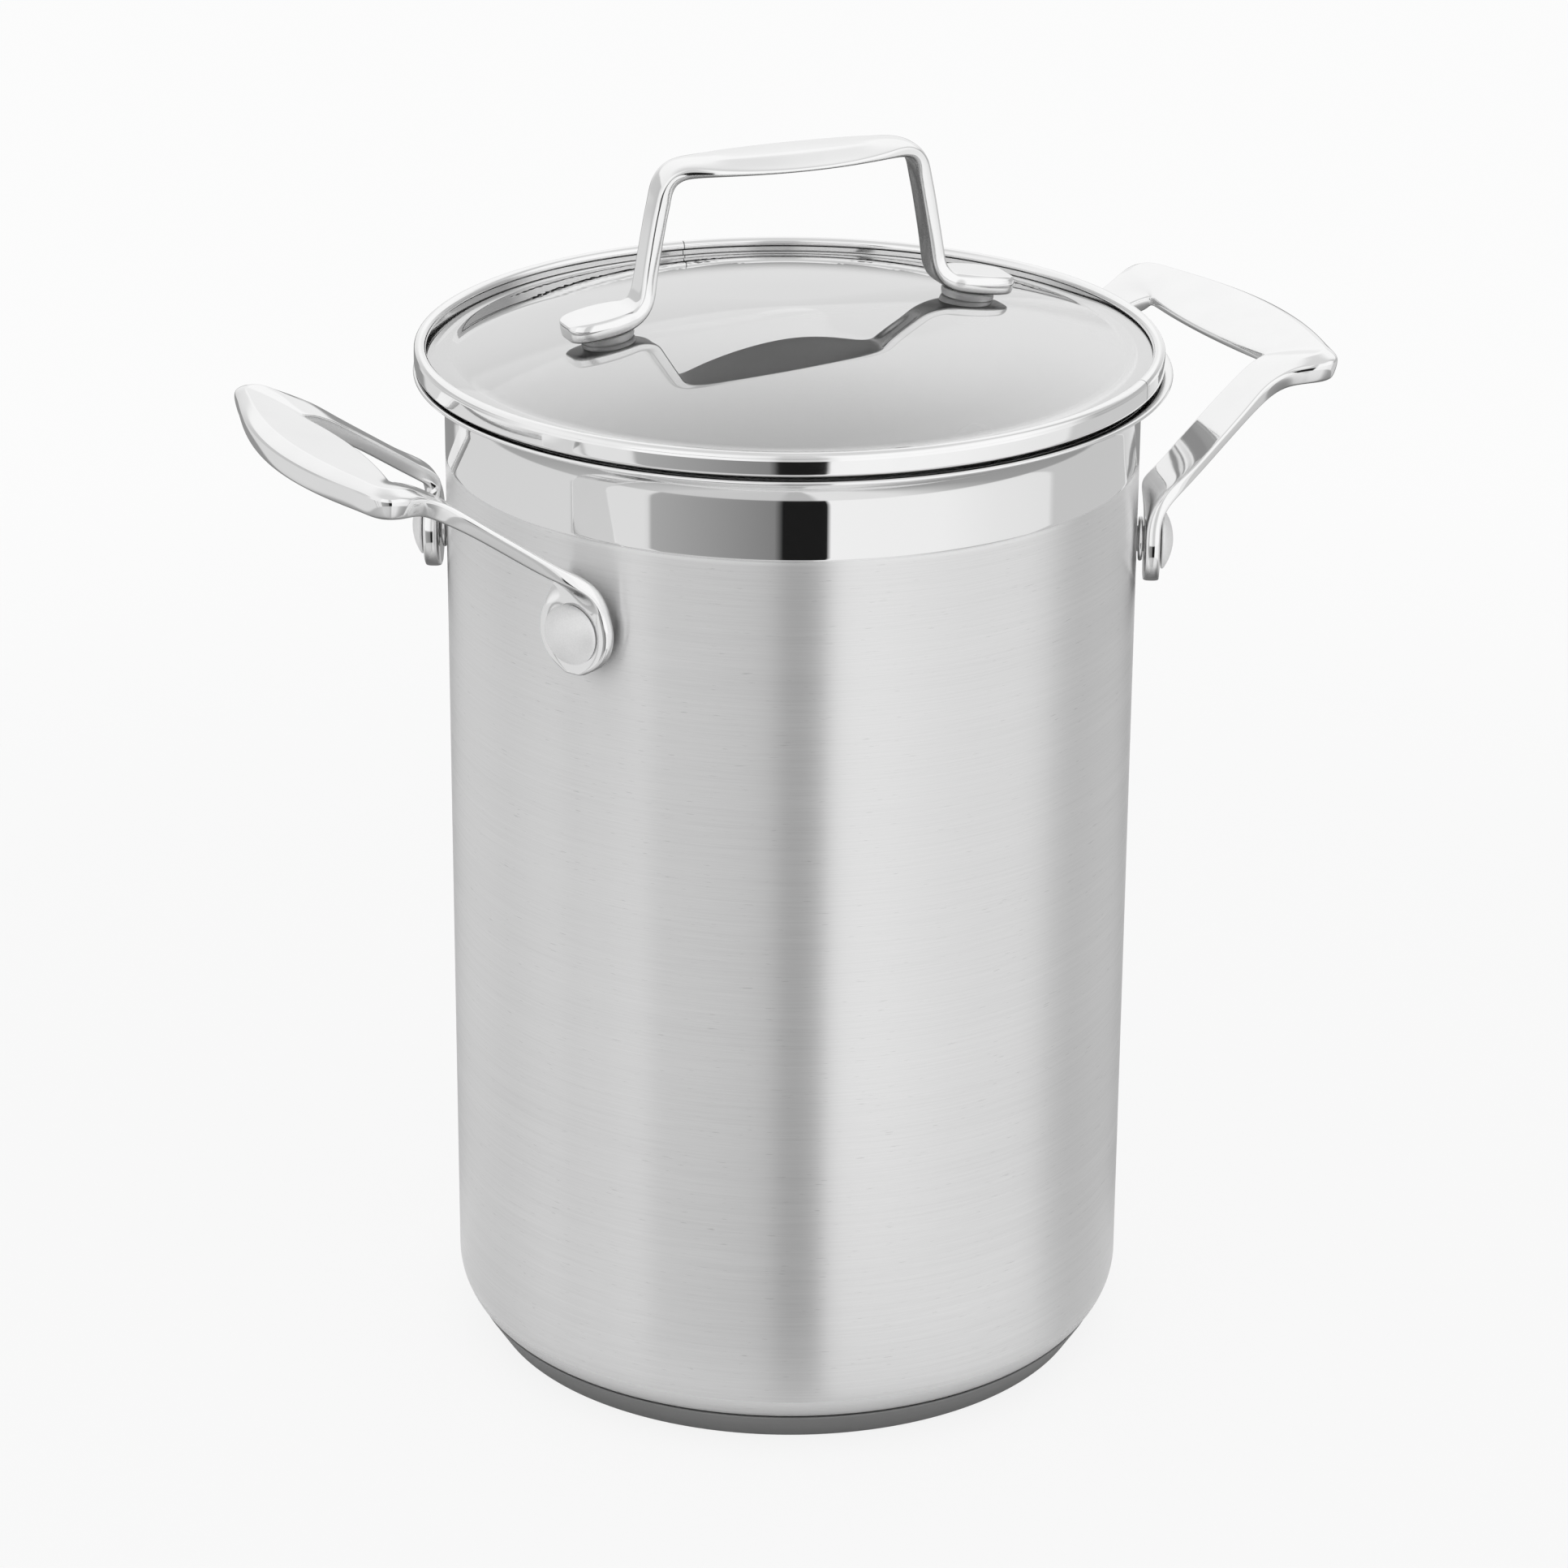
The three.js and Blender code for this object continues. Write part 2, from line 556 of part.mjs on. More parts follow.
// One side of the lid handle in outline, from its middle down to the foot and back
function archSide() {
  const legFoot = LEG_FOOT_REACH + LEG_THICK;
  const legTop = LEG_TOP_REACH + LEG_THICK;
  const footStart = legFoot + LEG_BEND / 2;
  const bend = footLine(legFoot) + FOOT_THICK + LEG_BEND;
  const cornerInside = GRIP_CORNER - LEG_THICK / 2;
  const footTop = (reach) => footLine(reach) + FOOT_THICK;
  const half = new THREE.Shape();
  half.moveTo(0, gripUnder);
  half.lineTo(LEG_TOP_REACH - cornerInside, gripUnder);
  half.quadraticCurveTo(LEG_TOP_REACH, gripUnder, LEG_TOP_REACH, gripUnder - cornerInside);
  half.lineTo(LEG_FOOT_REACH, bend);
  half.quadraticCurveTo(LEG_FOOT_REACH, footLine(LEG_FOOT_REACH), FOOT_HEEL, footLine(FOOT_HEEL));
  half.lineTo(FOOT_TIP, footLine(FOOT_TIP));
  half.lineTo(FOOT_TIP, footTop(FOOT_TIP) - FOOT_ROUND);
  half.lineTo(FOOT_TIP - 2 * FOOT_ROUND, footTop(FOOT_TIP - 2 * FOOT_ROUND));
  half.lineTo(footStart, footTop(footStart));
  half.quadraticCurveTo(legFoot, footTop(legFoot), legFoot, bend);
  half.lineTo(legTop, gripTop - GRIP_CORNER);
  half.quadraticCurveTo(legTop, gripTop, legTop - GRIP_CORNER, gripTop);
  half.lineTo(0, gripTop);
  return half.getPoints(CURVE_STEPS);
}

// Lid handle from above: widest at the middle of the grip, narrow at the legs, with round feet
function archPlan() {
  const tipStart = FOOT_TIP - FOOT_HALF_WIDTH;
  const legOutside = LEG_FOOT_REACH + LEG_THICK;
  const crown = 2 * GRIP_HALF_WIDTH - LEG_HALF_WIDTH;
  const plan = new THREE.Shape();
  plan.moveTo(tipStart, -FOOT_HALF_WIDTH);
  plan.absarc(tipStart, 0, FOOT_HALF_WIDTH, -Math.PI / 2, Math.PI / 2, false);
  plan.quadraticCurveTo(legOutside, FOOT_HALF_WIDTH, legOutside, LEG_HALF_WIDTH);
  plan.lineTo(LEG_TOP_REACH, LEG_HALF_WIDTH);
  plan.quadraticCurveTo(0, crown, -LEG_TOP_REACH, LEG_HALF_WIDTH);
  plan.lineTo(-legOutside, LEG_HALF_WIDTH);
  plan.quadraticCurveTo(-legOutside, FOOT_HALF_WIDTH, -tipStart, FOOT_HALF_WIDTH);
  plan.absarc(-tipStart, 0, FOOT_HALF_WIDTH, Math.PI / 2, Math.PI * 1.5, false);
  plan.quadraticCurveTo(-legOutside, -FOOT_HALF_WIDTH, -legOutside, -LEG_HALF_WIDTH);
  plan.lineTo(-LEG_TOP_REACH, -LEG_HALF_WIDTH);
  plan.quadraticCurveTo(0, -crown, LEG_TOP_REACH, -LEG_HALF_WIDTH);
  plan.lineTo(legOutside, -LEG_HALF_WIDTH);
  plan.quadraticCurveTo(legOutside, -FOOT_HALF_WIDTH, tipStart, -FOOT_HALF_WIDTH);
  return plan;
}

// Lid handle: arch and feet in one piece, with a blind hole up into each foot
function lidHandle() {
  const rightSide = archSide().map((point) => [point.x, point.y]);
  const leftSide = rightSide.slice(1, -1).reverse().map(([x, z]) => [-x, z]);
  const halfWidth = GRIP_HALF_WIDTH + CUT_MARGIN;
  const arch = bodyOf(extrudedAcross(outline([...rightSide, ...leftSide]), -halfWidth, halfWidth));
  let body = arch.intersect(bodyOf(extrudedUp(archPlan(), 0, gripTop + CUT_MARGIN)));
  const holeTop = footUnder + SCREW_BITE + HOLE_CLEARANCE;
  for (const side of [-1, 1]) {
    const bore = disc(SCREW_SHANK + HOLE_CLEARANCE, footUnder - CUT_MARGIN, holeTop);
    const hole = turned(bore, SMALL_SIDES);
    body = body.subtract(bodyOf(hole.translate(side * SCREW_REACH, 0, 0)));
  }
  return geometryOf(body);
}

// A washer shaped to the dome: a drilled disc cut off by the glass, grown by the contact gap
function glassWasher(radius, bottom, top, side) {
  const bore = SCREW_SHANK + HOLE_CLEARANCE;
  const blank = turned([[bore, bottom], [radius, bottom], [radius, top], [bore, top]], SMALL_SIDES);
  const glass = turned(glassProfile(CONTACT_GAP, bandRadius), ROUND_SIDES);
  return bodyOf(blank.translate(side * SCREW_REACH, 0, 0)).subtract(bodyOf(glass));
}

// Washer between glass and foot, cut off by the foot's sloping underside as well
function footWasher(side) {
  const near = SCREW_REACH - 2 * WASHER_RADIUS;
  const far = SCREW_REACH + 2 * WASHER_RADIUS;
  const room = outline([
    [side * near, seatHeight],
    [side * far, seatHeight],
    [side * far, footLine(far) - CONTACT_GAP],
    [side * near, footLine(near) - CONTACT_GAP],
  ]);
  const blank = glassWasher(WASHER_RADIUS, glassMiddle, gripUnder, side);
  return geometryOf(blank.intersect(bodyOf(extrudedAcross(room, -FOOT_TIP, FOOT_TIP))));
}

function underWasher(side) {
  return geometryOf(glassWasher(UNDER_WASHER_RADIUS, screwHeadTop + CONTACT_GAP, glassMiddle, side));
}

function lidScrew() {
  const headBottom = screwHeadTop - SCREW_HEAD_THICK;
  return geometryOf(bodyOf(turned([
    [0, headBottom],
    [SCREW_HEAD_RADIUS - SCREW_HEAD_EDGE, headBottom],
    [SCREW_HEAD_RADIUS, headBottom + SCREW_HEAD_EDGE],
    [SCREW_HEAD_RADIUS, screwHeadTop],
    [SCREW_SHANK, screwHeadTop],
    [SCREW_SHANK, footUnder + SCREW_BITE],
    [0, footUnder + SCREW_BITE],
  ], SMALL_SIDES)));
}

const lid = new THREE.Group();
lid.rotation.z = LID_TURN;
lid.position.set(LID_SHIFT * Math.cos(LID_SHIFT_WAY), LID_SHIFT * Math.sin(LID_SHIFT_WAY), 0);
lid.add(piece('lid_glass', lidGlass(), CLEAR_GLASS));
lid.add(piece('lid_band', lidBand(), POLISHED_STEEL));
lid.add(piece('rim_seal', rimSeal(), SILICONE));
lid.add(piece('lid_handle', lidHandle(), POLISHED_STEEL));
for (const [side, way] of Object.entries({ right: 1, left: -1 })) {
  const screw = piece(`lid_screw_${side}`, lidScrew(), SATIN_STEEL);
  screw.position.x = way * SCREW_REACH;
  lid.add(piece(`foot_washer_${side}`, footWasher(way), SILICONE));
  lid.add(piece(`under_washer_${side}`, underWasher(way), SILICONE));
  lid.add(screw);
}

// Places in the basket
const basketRadius = potInside - BASKET_GAP;
const basketInside = basketRadius - BASKET_SHEET;
const basketFootBottom = floorTop + CONTACT_GAP;
const basketUnder = basketFootBottom + BASKET_FOOT_HEIGHT + CONTACT_GAP;
const basketFloor = basketUnder + BASKET_SHEET;
const basketTop = basketUnder + BASKET_HEIGHT;
const bracketTop = basketTop - BRACKET_DROP;
const pivotHeight = bracketTop - BRACKET_HEIGHT / 2;
const pivotReach = basketInside - PIVOT_INSET;
const bracketOutside = basketInside - CONTACT_GAP;
const bracketInside = bracketOutside - BRACKET_SHEET;
const earInside = RING_HALF_WIDTH + WIRE_RADIUS + WIRE_EAR_GAP;
const earOutside = earInside + EAR_THICK;

// Basket shell: dished floor, straight wall and beaded edge, perforated all over
function basketShell() {
  const cornerHigh = basketUnder + BASKET_CORNER;
  const cornerIn = basketRadius - BASKET_CORNER;
  const insideCorner = BASKET_CORNER - BASKET_SHEET;
  const beadFoot = basketTop - BASKET_BEAD_HEIGHT;
  const beadOut = basketRadius + BASKET_BEAD;
  const profile = [
    [0, basketUnder],
    ...arc(cornerIn, cornerHigh, BASKET_CORNER, -Math.PI / 2, 0, CORNER_STEPS),
    [basketRadius, beadFoot],
    [beadOut, beadFoot + BASKET_BEAD_EDGE],
    [beadOut, basketTop - BASKET_BEAD_EDGE],
    [basketRadius, basketTop],
    [basketInside, basketTop],
    ...arc(cornerIn, cornerHigh, insideCorner, 0, -Math.PI / 2, CORNER_STEPS),
    [0, basketFloor],
  ];
  let body = bodyOf(turned(profile, ROUND_SIDES));
  const reach = basketRadius + CUT_MARGIN;
  for (let row = 0; row < PERFORATION_ROWS; row += 1) {
    const height = basketFloor + PERFORATION_START + row * PERFORATION_PITCH;
    const pitch = 2 * Math.PI / PERFORATION_COLUMNS;
    for (let column = 0; column < PERFORATION_COLUMNS / 2; column += 1) {
      const angle = (column + (row % 2) / 2) * pitch;
      body = body.subtract(radialCut(PERFORATION_RADIUS, -reach, reach, height, angle, HOLE_SIDES));
    }
  }
  for (const ring of FLOOR_RINGS) {
    for (let i = 0; i < ring.holes; i += 1) {
      const hole = turned(disc(PERFORATION_RADIUS, 0, basketFloor + CUT_MARGIN), HOLE_SIDES);
      hole.translate(ring.radius, 0, 0).rotateZ(2 * Math.PI * i / ring.holes);
      body = body.subtract(bodyOf(hole));
    }
  }
  return geometryOf(studHoles(body));
}

// Drill a body for the bracket rivets of both sides
function studHoles(body) {
  let drilled = body;
  for (const handleTurn of Object.values(handleTurns)) {
    for (const turn of [-STUD_ANGLE, STUD_ANGLE]) {
      drilled = drilled.subtract(radialCut(STUD_SHANK + HOLE_CLEARANCE, bracketInside - CUT_MARGIN,
        basketRadius + CUT_MARGIN, pivotHeight, handleTurn + turn, STUD_SIDES));
    }
  }
  return drilled;
}

function basketFoot() {
  return geometryOf(bodyOf(turned([
    [0, basketFootBottom],
    [BASKET_FOOT_RADIUS - BASKET_FOOT_TAPER, basketFootBottom],
    [BASKET_FOOT_RADIUS, basketFootBottom + BASKET_FOOT_HEIGHT],
    [0, basketFootBottom + BASKET_FOOT_HEIGHT],
  ], SMALL_SIDES)));
}

// Bracket: a curved plate on the basket's inside with an ear at each end of the hinge line
function basketBracket() {
  const half = Math.asin((earOutside + BRACKET_MARGIN) / bracketOutside);
  const plate = new THREE.Shape();
  plate.absarc(0, 0, bracketOutside, -half, half, false);
  plate.absarc(0, 0, bracketInside, half, -half, true);
  const settings = { depth: BRACKET_HEIGHT, bevelEnabled: false, curveSegments: CURVE_STEPS };
  const plateShape = new THREE.ExtrudeGeometry(plate, settings);
  let body = bodyOf(plateShape.translate(0, 0, bracketTop - BRACKET_HEIGHT));
  const limit = bodyOf(turned(disc(bracketOutside, 0, basketTop), ROUND_SIDES));
  const ear = new THREE.Shape();
  ear.moveTo(bracketOutside, pivotHeight - EAR_RADIUS);
  ear.lineTo(bracketOutside, pivotHeight + EAR_RADIUS);
  ear.lineTo(pivotReach, pivotHeight + EAR_RADIUS);
  ear.absarc(pivotReach, pivotHeight, EAR_RADIUS, Math.PI / 2, Math.PI * 1.5, false);
  const bore = new THREE.Shape();
  bore.absarc(pivotReach, pivotHeight, WIRE_RADIUS + HOLE_CLEARANCE, 0, 2 * Math.PI, false);
  for (const side of [-1, 1]) {
    const near = Math.min(side * earInside, side * earOutside);
    const far = Math.max(side * earInside, side * earOutside);
    body = body.add(bodyOf(extrudedAcross(ear, near, far)).intersect(limit));
    body = body.subtract(bodyOf(extrudedAcross(bore, near - CUT_MARGIN, far + CUT_MARGIN)));
  }
  return geometryOf(studHoles(body));
}

// Bracket rivet: a domed head on each side of the wall and the plate
function bracketStud() {
  const insideFace = bracketInside - CONTACT_GAP;
  const outsideFace = basketRadius + CONTACT_GAP;
  const outsideHead = domedHead(STUD_HEAD_RADIUS, STUD_HEAD_RISE, 0);
  const insideHead = outsideHead.map(([radius, rise]) => [radius, insideFace - rise]).reverse();
  return geometryOf(bodyOf(turnedAboutX([
    ...insideHead,
    [STUD_SHANK, insideFace],
    [STUD_SHANK, outsideFace],
    ...outsideHead.map(([radius, rise]) => [radius, outsideFace + rise]),
  ], STUD_SIDES)));
}

// Folding handle: a wire ring that hangs from its two pins, which turn out into the ears
function wireRing() {
  const at = (y, z) => new THREE.Vector3(pivotReach, y, z);
  const pinStart = RING_HALF_WIDTH + RING_PIN_CORNER;
  const pinEnd = earOutside + WIRE_PIN_END;
  const low = pivotHeight - RING_DROP;
  const path = new THREE.CurvePath();
  const side = (way) => [
    new THREE.LineCurve3(at(way * pinEnd, pivotHeight), at(way * pinStart, pivotHeight)),
    new THREE.QuadraticBezierCurve3(
      at(way * pinStart, pivotHeight),
      at(way * RING_HALF_WIDTH, pivotHeight),
      at(way * RING_HALF_WIDTH, pivotHeight - RING_PIN_CORNER)),
    new THREE.LineCurve3(
      at(way * RING_HALF_WIDTH, pivotHeight - RING_PIN_CORNER),
      at(way * RING_HALF_WIDTH, low + RING_CORNER)),
    new THREE.QuadraticBezierCurve3(
      at(way * RING_HALF_WIDTH, low + RING_CORNER),
      at(way * RING_HALF_WIDTH, low),
      at(way * (RING_HALF_WIDTH - RING_CORNER), low)),
  ];
  const across = RING_HALF_WIDTH - RING_CORNER;
  side(1).forEach((curve) => path.add(curve));
  path.add(new THREE.LineCurve3(at(across, low), at(-across, low)));
  side(-1).reverse().forEach((curve) => path.add(reversed(curve)));
  const section = new THREE.Shape();
  section.absarc(0, 0, WIRE_RADIUS, 0, 2 * Math.PI, false);
  const settings = { steps: RING_STEPS, curveSegments: WIRE_QUARTER_STEPS, extrudePath: path };
  return geometryOf(bodyOf(new THREE.ExtrudeGeometry(section, settings)));
}

// The same curve, run the other way
function reversed(curve) {
  if (curve.isLineCurve3) return new THREE.LineCurve3(curve.v2, curve.v1);
  return new THREE.QuadraticBezierCurve3(curve.v2, curve.v1, curve.v0);
}

const basket = new THREE.Group();
basket.add(piece('basket_shell', basketShell(), BASKET_STEEL));
for (let i = 0; i < BASKET_FEET; i += 1) {
  const spoke = new THREE.Group();
  spoke.rotation.z = Math.PI / 2 + 2 * Math.PI * i / BASKET_FEET;
  const foot = piece(`basket_foot_${i + 1}`, basketFoot(), BASKET_STEEL);
  foot.position.x = BASKET_FOOT_CIRCLE;
  spoke.add(foot);
  basket.add(spoke);
}
for (const [side, handleTurn] of Object.entries(handleTurns)) {
  const half = new THREE.Group();
  half.rotation.z = handleTurn;
  half.add(piece(`basket_bracket_${side}`, basketBracket(), BASKET_STEEL));
  half.add(piece(`basket_handle_${side}`, wireRing(), POLISHED_STEEL));
  for (const [end, turn] of Object.entries(fixingTurns(side, STUD_ANGLE))) {
    const fixing = new THREE.Group();
    fixing.rotation.z = turn;
    fixing.position.z = pivotHeight;
    fixing.add(piece(`bracket_rivet_${side}_${end}`, bracketStud(), SATIN_STEEL));
    half.add(fixing);
  }
  basket.add(half);
}

const steamingPot = new THREE.Group();
steamingPot.add(pot, lid, basket);

export default steamingPot;
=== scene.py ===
"""A tall steaming pot of brushed and polished steel, with a glass lid and a lift-out strainer.

Meshes are shaped in millimetres and stored in metres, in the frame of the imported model.
"""

import json
import logging
import math
from dataclasses import dataclass
from enum import Enum
from typing import Callable, ClassVar, Iterable, Sequence, Union

import bmesh
import bpy
from mathutils import Matrix, Vector

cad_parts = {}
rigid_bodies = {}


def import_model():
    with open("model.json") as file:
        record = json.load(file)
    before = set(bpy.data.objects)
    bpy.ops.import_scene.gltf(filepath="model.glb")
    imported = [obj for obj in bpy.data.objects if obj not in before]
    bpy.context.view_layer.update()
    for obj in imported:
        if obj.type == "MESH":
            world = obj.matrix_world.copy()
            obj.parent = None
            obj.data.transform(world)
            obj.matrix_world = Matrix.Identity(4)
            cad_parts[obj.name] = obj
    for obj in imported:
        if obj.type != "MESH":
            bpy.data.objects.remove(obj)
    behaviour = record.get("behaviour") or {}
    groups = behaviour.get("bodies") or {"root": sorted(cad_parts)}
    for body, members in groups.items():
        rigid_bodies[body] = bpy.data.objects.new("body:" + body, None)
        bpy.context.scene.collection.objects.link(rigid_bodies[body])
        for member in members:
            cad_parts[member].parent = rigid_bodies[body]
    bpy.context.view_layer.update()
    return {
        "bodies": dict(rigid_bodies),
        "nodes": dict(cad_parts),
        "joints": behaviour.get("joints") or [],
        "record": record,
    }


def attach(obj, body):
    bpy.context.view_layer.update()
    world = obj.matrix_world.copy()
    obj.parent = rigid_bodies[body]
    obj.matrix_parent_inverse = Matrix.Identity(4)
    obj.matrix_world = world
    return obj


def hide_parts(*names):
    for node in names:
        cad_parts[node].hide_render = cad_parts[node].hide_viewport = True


LOG = logging.getLogger("steaming_pot")
MILLIMETRE = 0.001
WELD = 0.002  # points closer than this are one point
ROUND_STEPS = 192
SMALL_STEPS = 64
SHARP_EDGE = math.radians(38)
FULL_TURN = 2 * math.pi
BRUSH_TURN = 0.25  # part of a turn, so that gloss stretches across the brushing
PHOTO_AZIMUTH = math.radians(26.6)  # camera to the left of the pot's front

Colour = tuple[float, float, float, float]
Point = tuple[float, float]
Grain = tuple[float, float, float]  # grains per metre along X, Y and Z
Rows = tuple[tuple[float, ...], ...]


def grey(level: float) -> Colour:
    """A neutral colour of one linear level."""
    return (level, level, level, 1.0)


class Side(Enum):
    """The two sides of the pot along X."""

    RIGHT = ("right", 0.0)
    LEFT = ("left", math.pi)

    def __init__(self, word: str, turn: float) -> None:
        """Keeps the word used in names and the turn from the right side."""
        self.word = word
        self.turn = turn


class End(Enum):
    """The two fixings of a handle or bracket, with the front one towards -Y."""

    FRONT = ("front", -1.0)
    BACK = ("back", 1.0)

    def __init__(self, word: str, way: float) -> None:
        """Keeps the word used in names and the way along Y."""
        self.word = word
        self.way = way


class Signal:
    """A shader socket that can be used in Python expressions."""

    def __init__(self, graph: "NodeGraph", socket: bpy.types.NodeSocket) -> None:
        """Wraps an output socket of a graph."""
        self.graph = graph
        self.socket = socket

    def _math(self, operation: str, *operands: "Value") -> "Signal":
        """Adds one Math node."""
        return self.graph.node("ShaderNodeMath", {"operation": operation}, dict(enumerate(operands)))

    def __add__(self, other: "Value") -> "Signal":
        """Sum."""
        return self._math("ADD", self, other)

    __radd__ = __add__

    def __sub__(self, other: "Value") -> "Signal":
        """Difference."""
        return self._math("SUBTRACT", self, other)

    def __rsub__(self, other: "Value") -> "Signal":
        """Difference from a number."""
        return self._math("SUBTRACT", other, self)

    def __mul__(self, other: "Value") -> "Signal":
        """Product."""
        return self._math("MULTIPLY", self, other)

    __rmul__ = __mul__

    def angle_from(self, other: "Signal") -> "Signal":
        """Angle of the point (other, self) in radians."""
        return self._math("ARCTAN2", self, other)

    def arcsine(self) -> "Signal":
        """Angle whose sine this is, in radians."""
        return self._math("ARCSINE", self)

    def rise(self, start: float, end: float) -> "Signal":
        """Smooth step from 0 at start to 1 at end."""
        return self.graph.node(
            "ShaderNodeMapRange",
            {"interpolation_type": "SMOOTHSTEP"},
            {"Value": self, "From Min": start, "From Max": end},
        )


Value = Union[Signal, float]


class NodeGraph:
    """A node tree that is emptied and built up again."""

    def __init__(self, tree: bpy.types.NodeTree) -> None:
        """Starts from an empty tree."""
        self.tree = tree
        tree.nodes.clear()

    def node(self, kind: str, settings: dict | None = None, inputs: dict | None = None,
             output: int | str = 0) -> Signal:
        """Adds a node.

        Args:
            kind: the node's type.
            settings: its properties, or a ramp's stops under "stops".
            inputs: values or signals for its sockets, by name or place.
            output: the socket to hand back.

        Returns:
            The chosen output.
        """
        made = self.tree.nodes.new(kind)
        for name, value in (settings or {}).items():
            if name == "stops":
                self._set_stops(made.color_ramp, value)
            else:
                setattr(made, name, value)
        for key, value in (inputs or {}).items():
            if isinstance(value, Signal):
                self.tree.links.new(value.socket, made.inputs[key])
            else:
                made.inputs[key].default_value = value
        return Signal(self, made.outputs[output]) if made.outputs else None

    @staticmethod
    def _set_stops(ramp: bpy.types.ColorRamp, stops: Sequence[tuple[float, float]]) -> None:
        """Gives a ramp its places and grey levels."""
        while len(ramp.elements) < len(stops):
            ramp.elements.new(1.0)
        for element, (place, level) in zip(ramp.elements, stops):
            element.position = place
            element.color = grey(level)

    def blend(self, factor: Value, first: Union[Signal, Colour], second: Union[Signal, Colour]) -> Signal:
        """Mixes two colours."""
        return self.node("ShaderNodeMix", {"data_type": "RGBA"}, {0: factor, 6: first, 7: second}, 2)

    def length(self, *parts: Value) -> Signal:
        """Length of the vector with up to three given parts."""
        vector = self.node("ShaderNodeCombineXYZ", inputs=dict(enumerate(parts)))
        return self.node("ShaderNodeVectorMath", {"operation": "LENGTH"}, {0: vector}, "Value")

    def around(self, bearing: Signal, stops: Rows) -> Signal:
        """Grey that changes with a bearing, from 0 to 1 around the circle, at stops in degrees."""
        shares = [(angle / 360 + 0.5, level) for angle, level in stops]
        return self.node("ShaderNodeValToRGB", {"stops": shares}, {0: bearing})

    def place(self) -> Signal:
        """Place on the piece, in metres."""
        return self.node("ShaderNodeTexCoord", output="Object")

    def facing(self) -> Signal:
        """Way that the surface faces, in the piece's own axes."""
        return self.node("ShaderNodeTexCoord", output="Normal")

    def parts(self, vector: Signal) -> tuple[Signal, Signal, Signal]:
        """X, Y and Z of a vector."""
        split = self.node("ShaderNodeSeparateXYZ", inputs={0: vector})
        return tuple(Signal(self, socket) for socket in split.socket.node.outputs)

    def noise(self, vector: Signal, stretch: Grain, detail: float = 2.0,
              rough: float = 0.5) -> Signal:
        """Noise over a stretched copy of the piece.

        Args:
            vector: place on the piece.
            stretch: grains per metre along X, Y and Z.
            detail: octaves.
            rough: strength of the finer octaves.

        Returns:
            A level around one half.
        """
        scaled = self.node("ShaderNodeVectorMath", {"operation": "MULTIPLY"}, {0: vector, 1: stretch})
        return self.node("ShaderNodeTexNoise", inputs={
            "Vector": scaled, "Scale": 1.0, "Detail": detail, "Roughness": rough})

    def bump(self, height: Signal, strength: float, depth: float) -> Signal:
        """Normal for a relief of that depth in metres."""
        return self.node("ShaderNodeBump", inputs={"Height": height, "Strength": strength, "Distance": depth})


@dataclass(frozen=True)
class Finish:
    """A surface finish. Each kind paints its own Principled shader."""

    slot: str
    level: float  # linear grey of the bare surface
    roughness: float

    def material(self) -> bpy.types.Material:
        """The finish as a material, made once and shared."""
        name = f"{self.slot}_{type(self).__name__.lower()}"
        known = bpy.data.materials.get(name)
        if known:
            return known
        made = bpy.data.materials.new(name)
        made.use_nodes = True
        graph = NodeGraph(made.node_tree)
        shader = graph.node("ShaderNodeBsdfPrincipled", inputs=self.paint(graph))
        graph.node("ShaderNodeOutputMaterial", inputs={"Surface": shader})
        return made

    def paint(self, graph: NodeGraph) -> dict:
        """Inputs of the Principled shader."""
        raise NotImplementedError

    def tint(self, graph: NodeGraph, mask: Value, spread: float) -> Signal:
        """Colour that varies by a share of the level as the mask goes from 0 to 1."""
        return graph.blend(mask, grey(self.level * (1 - spread)), grey(self.level * (1 + spread)))


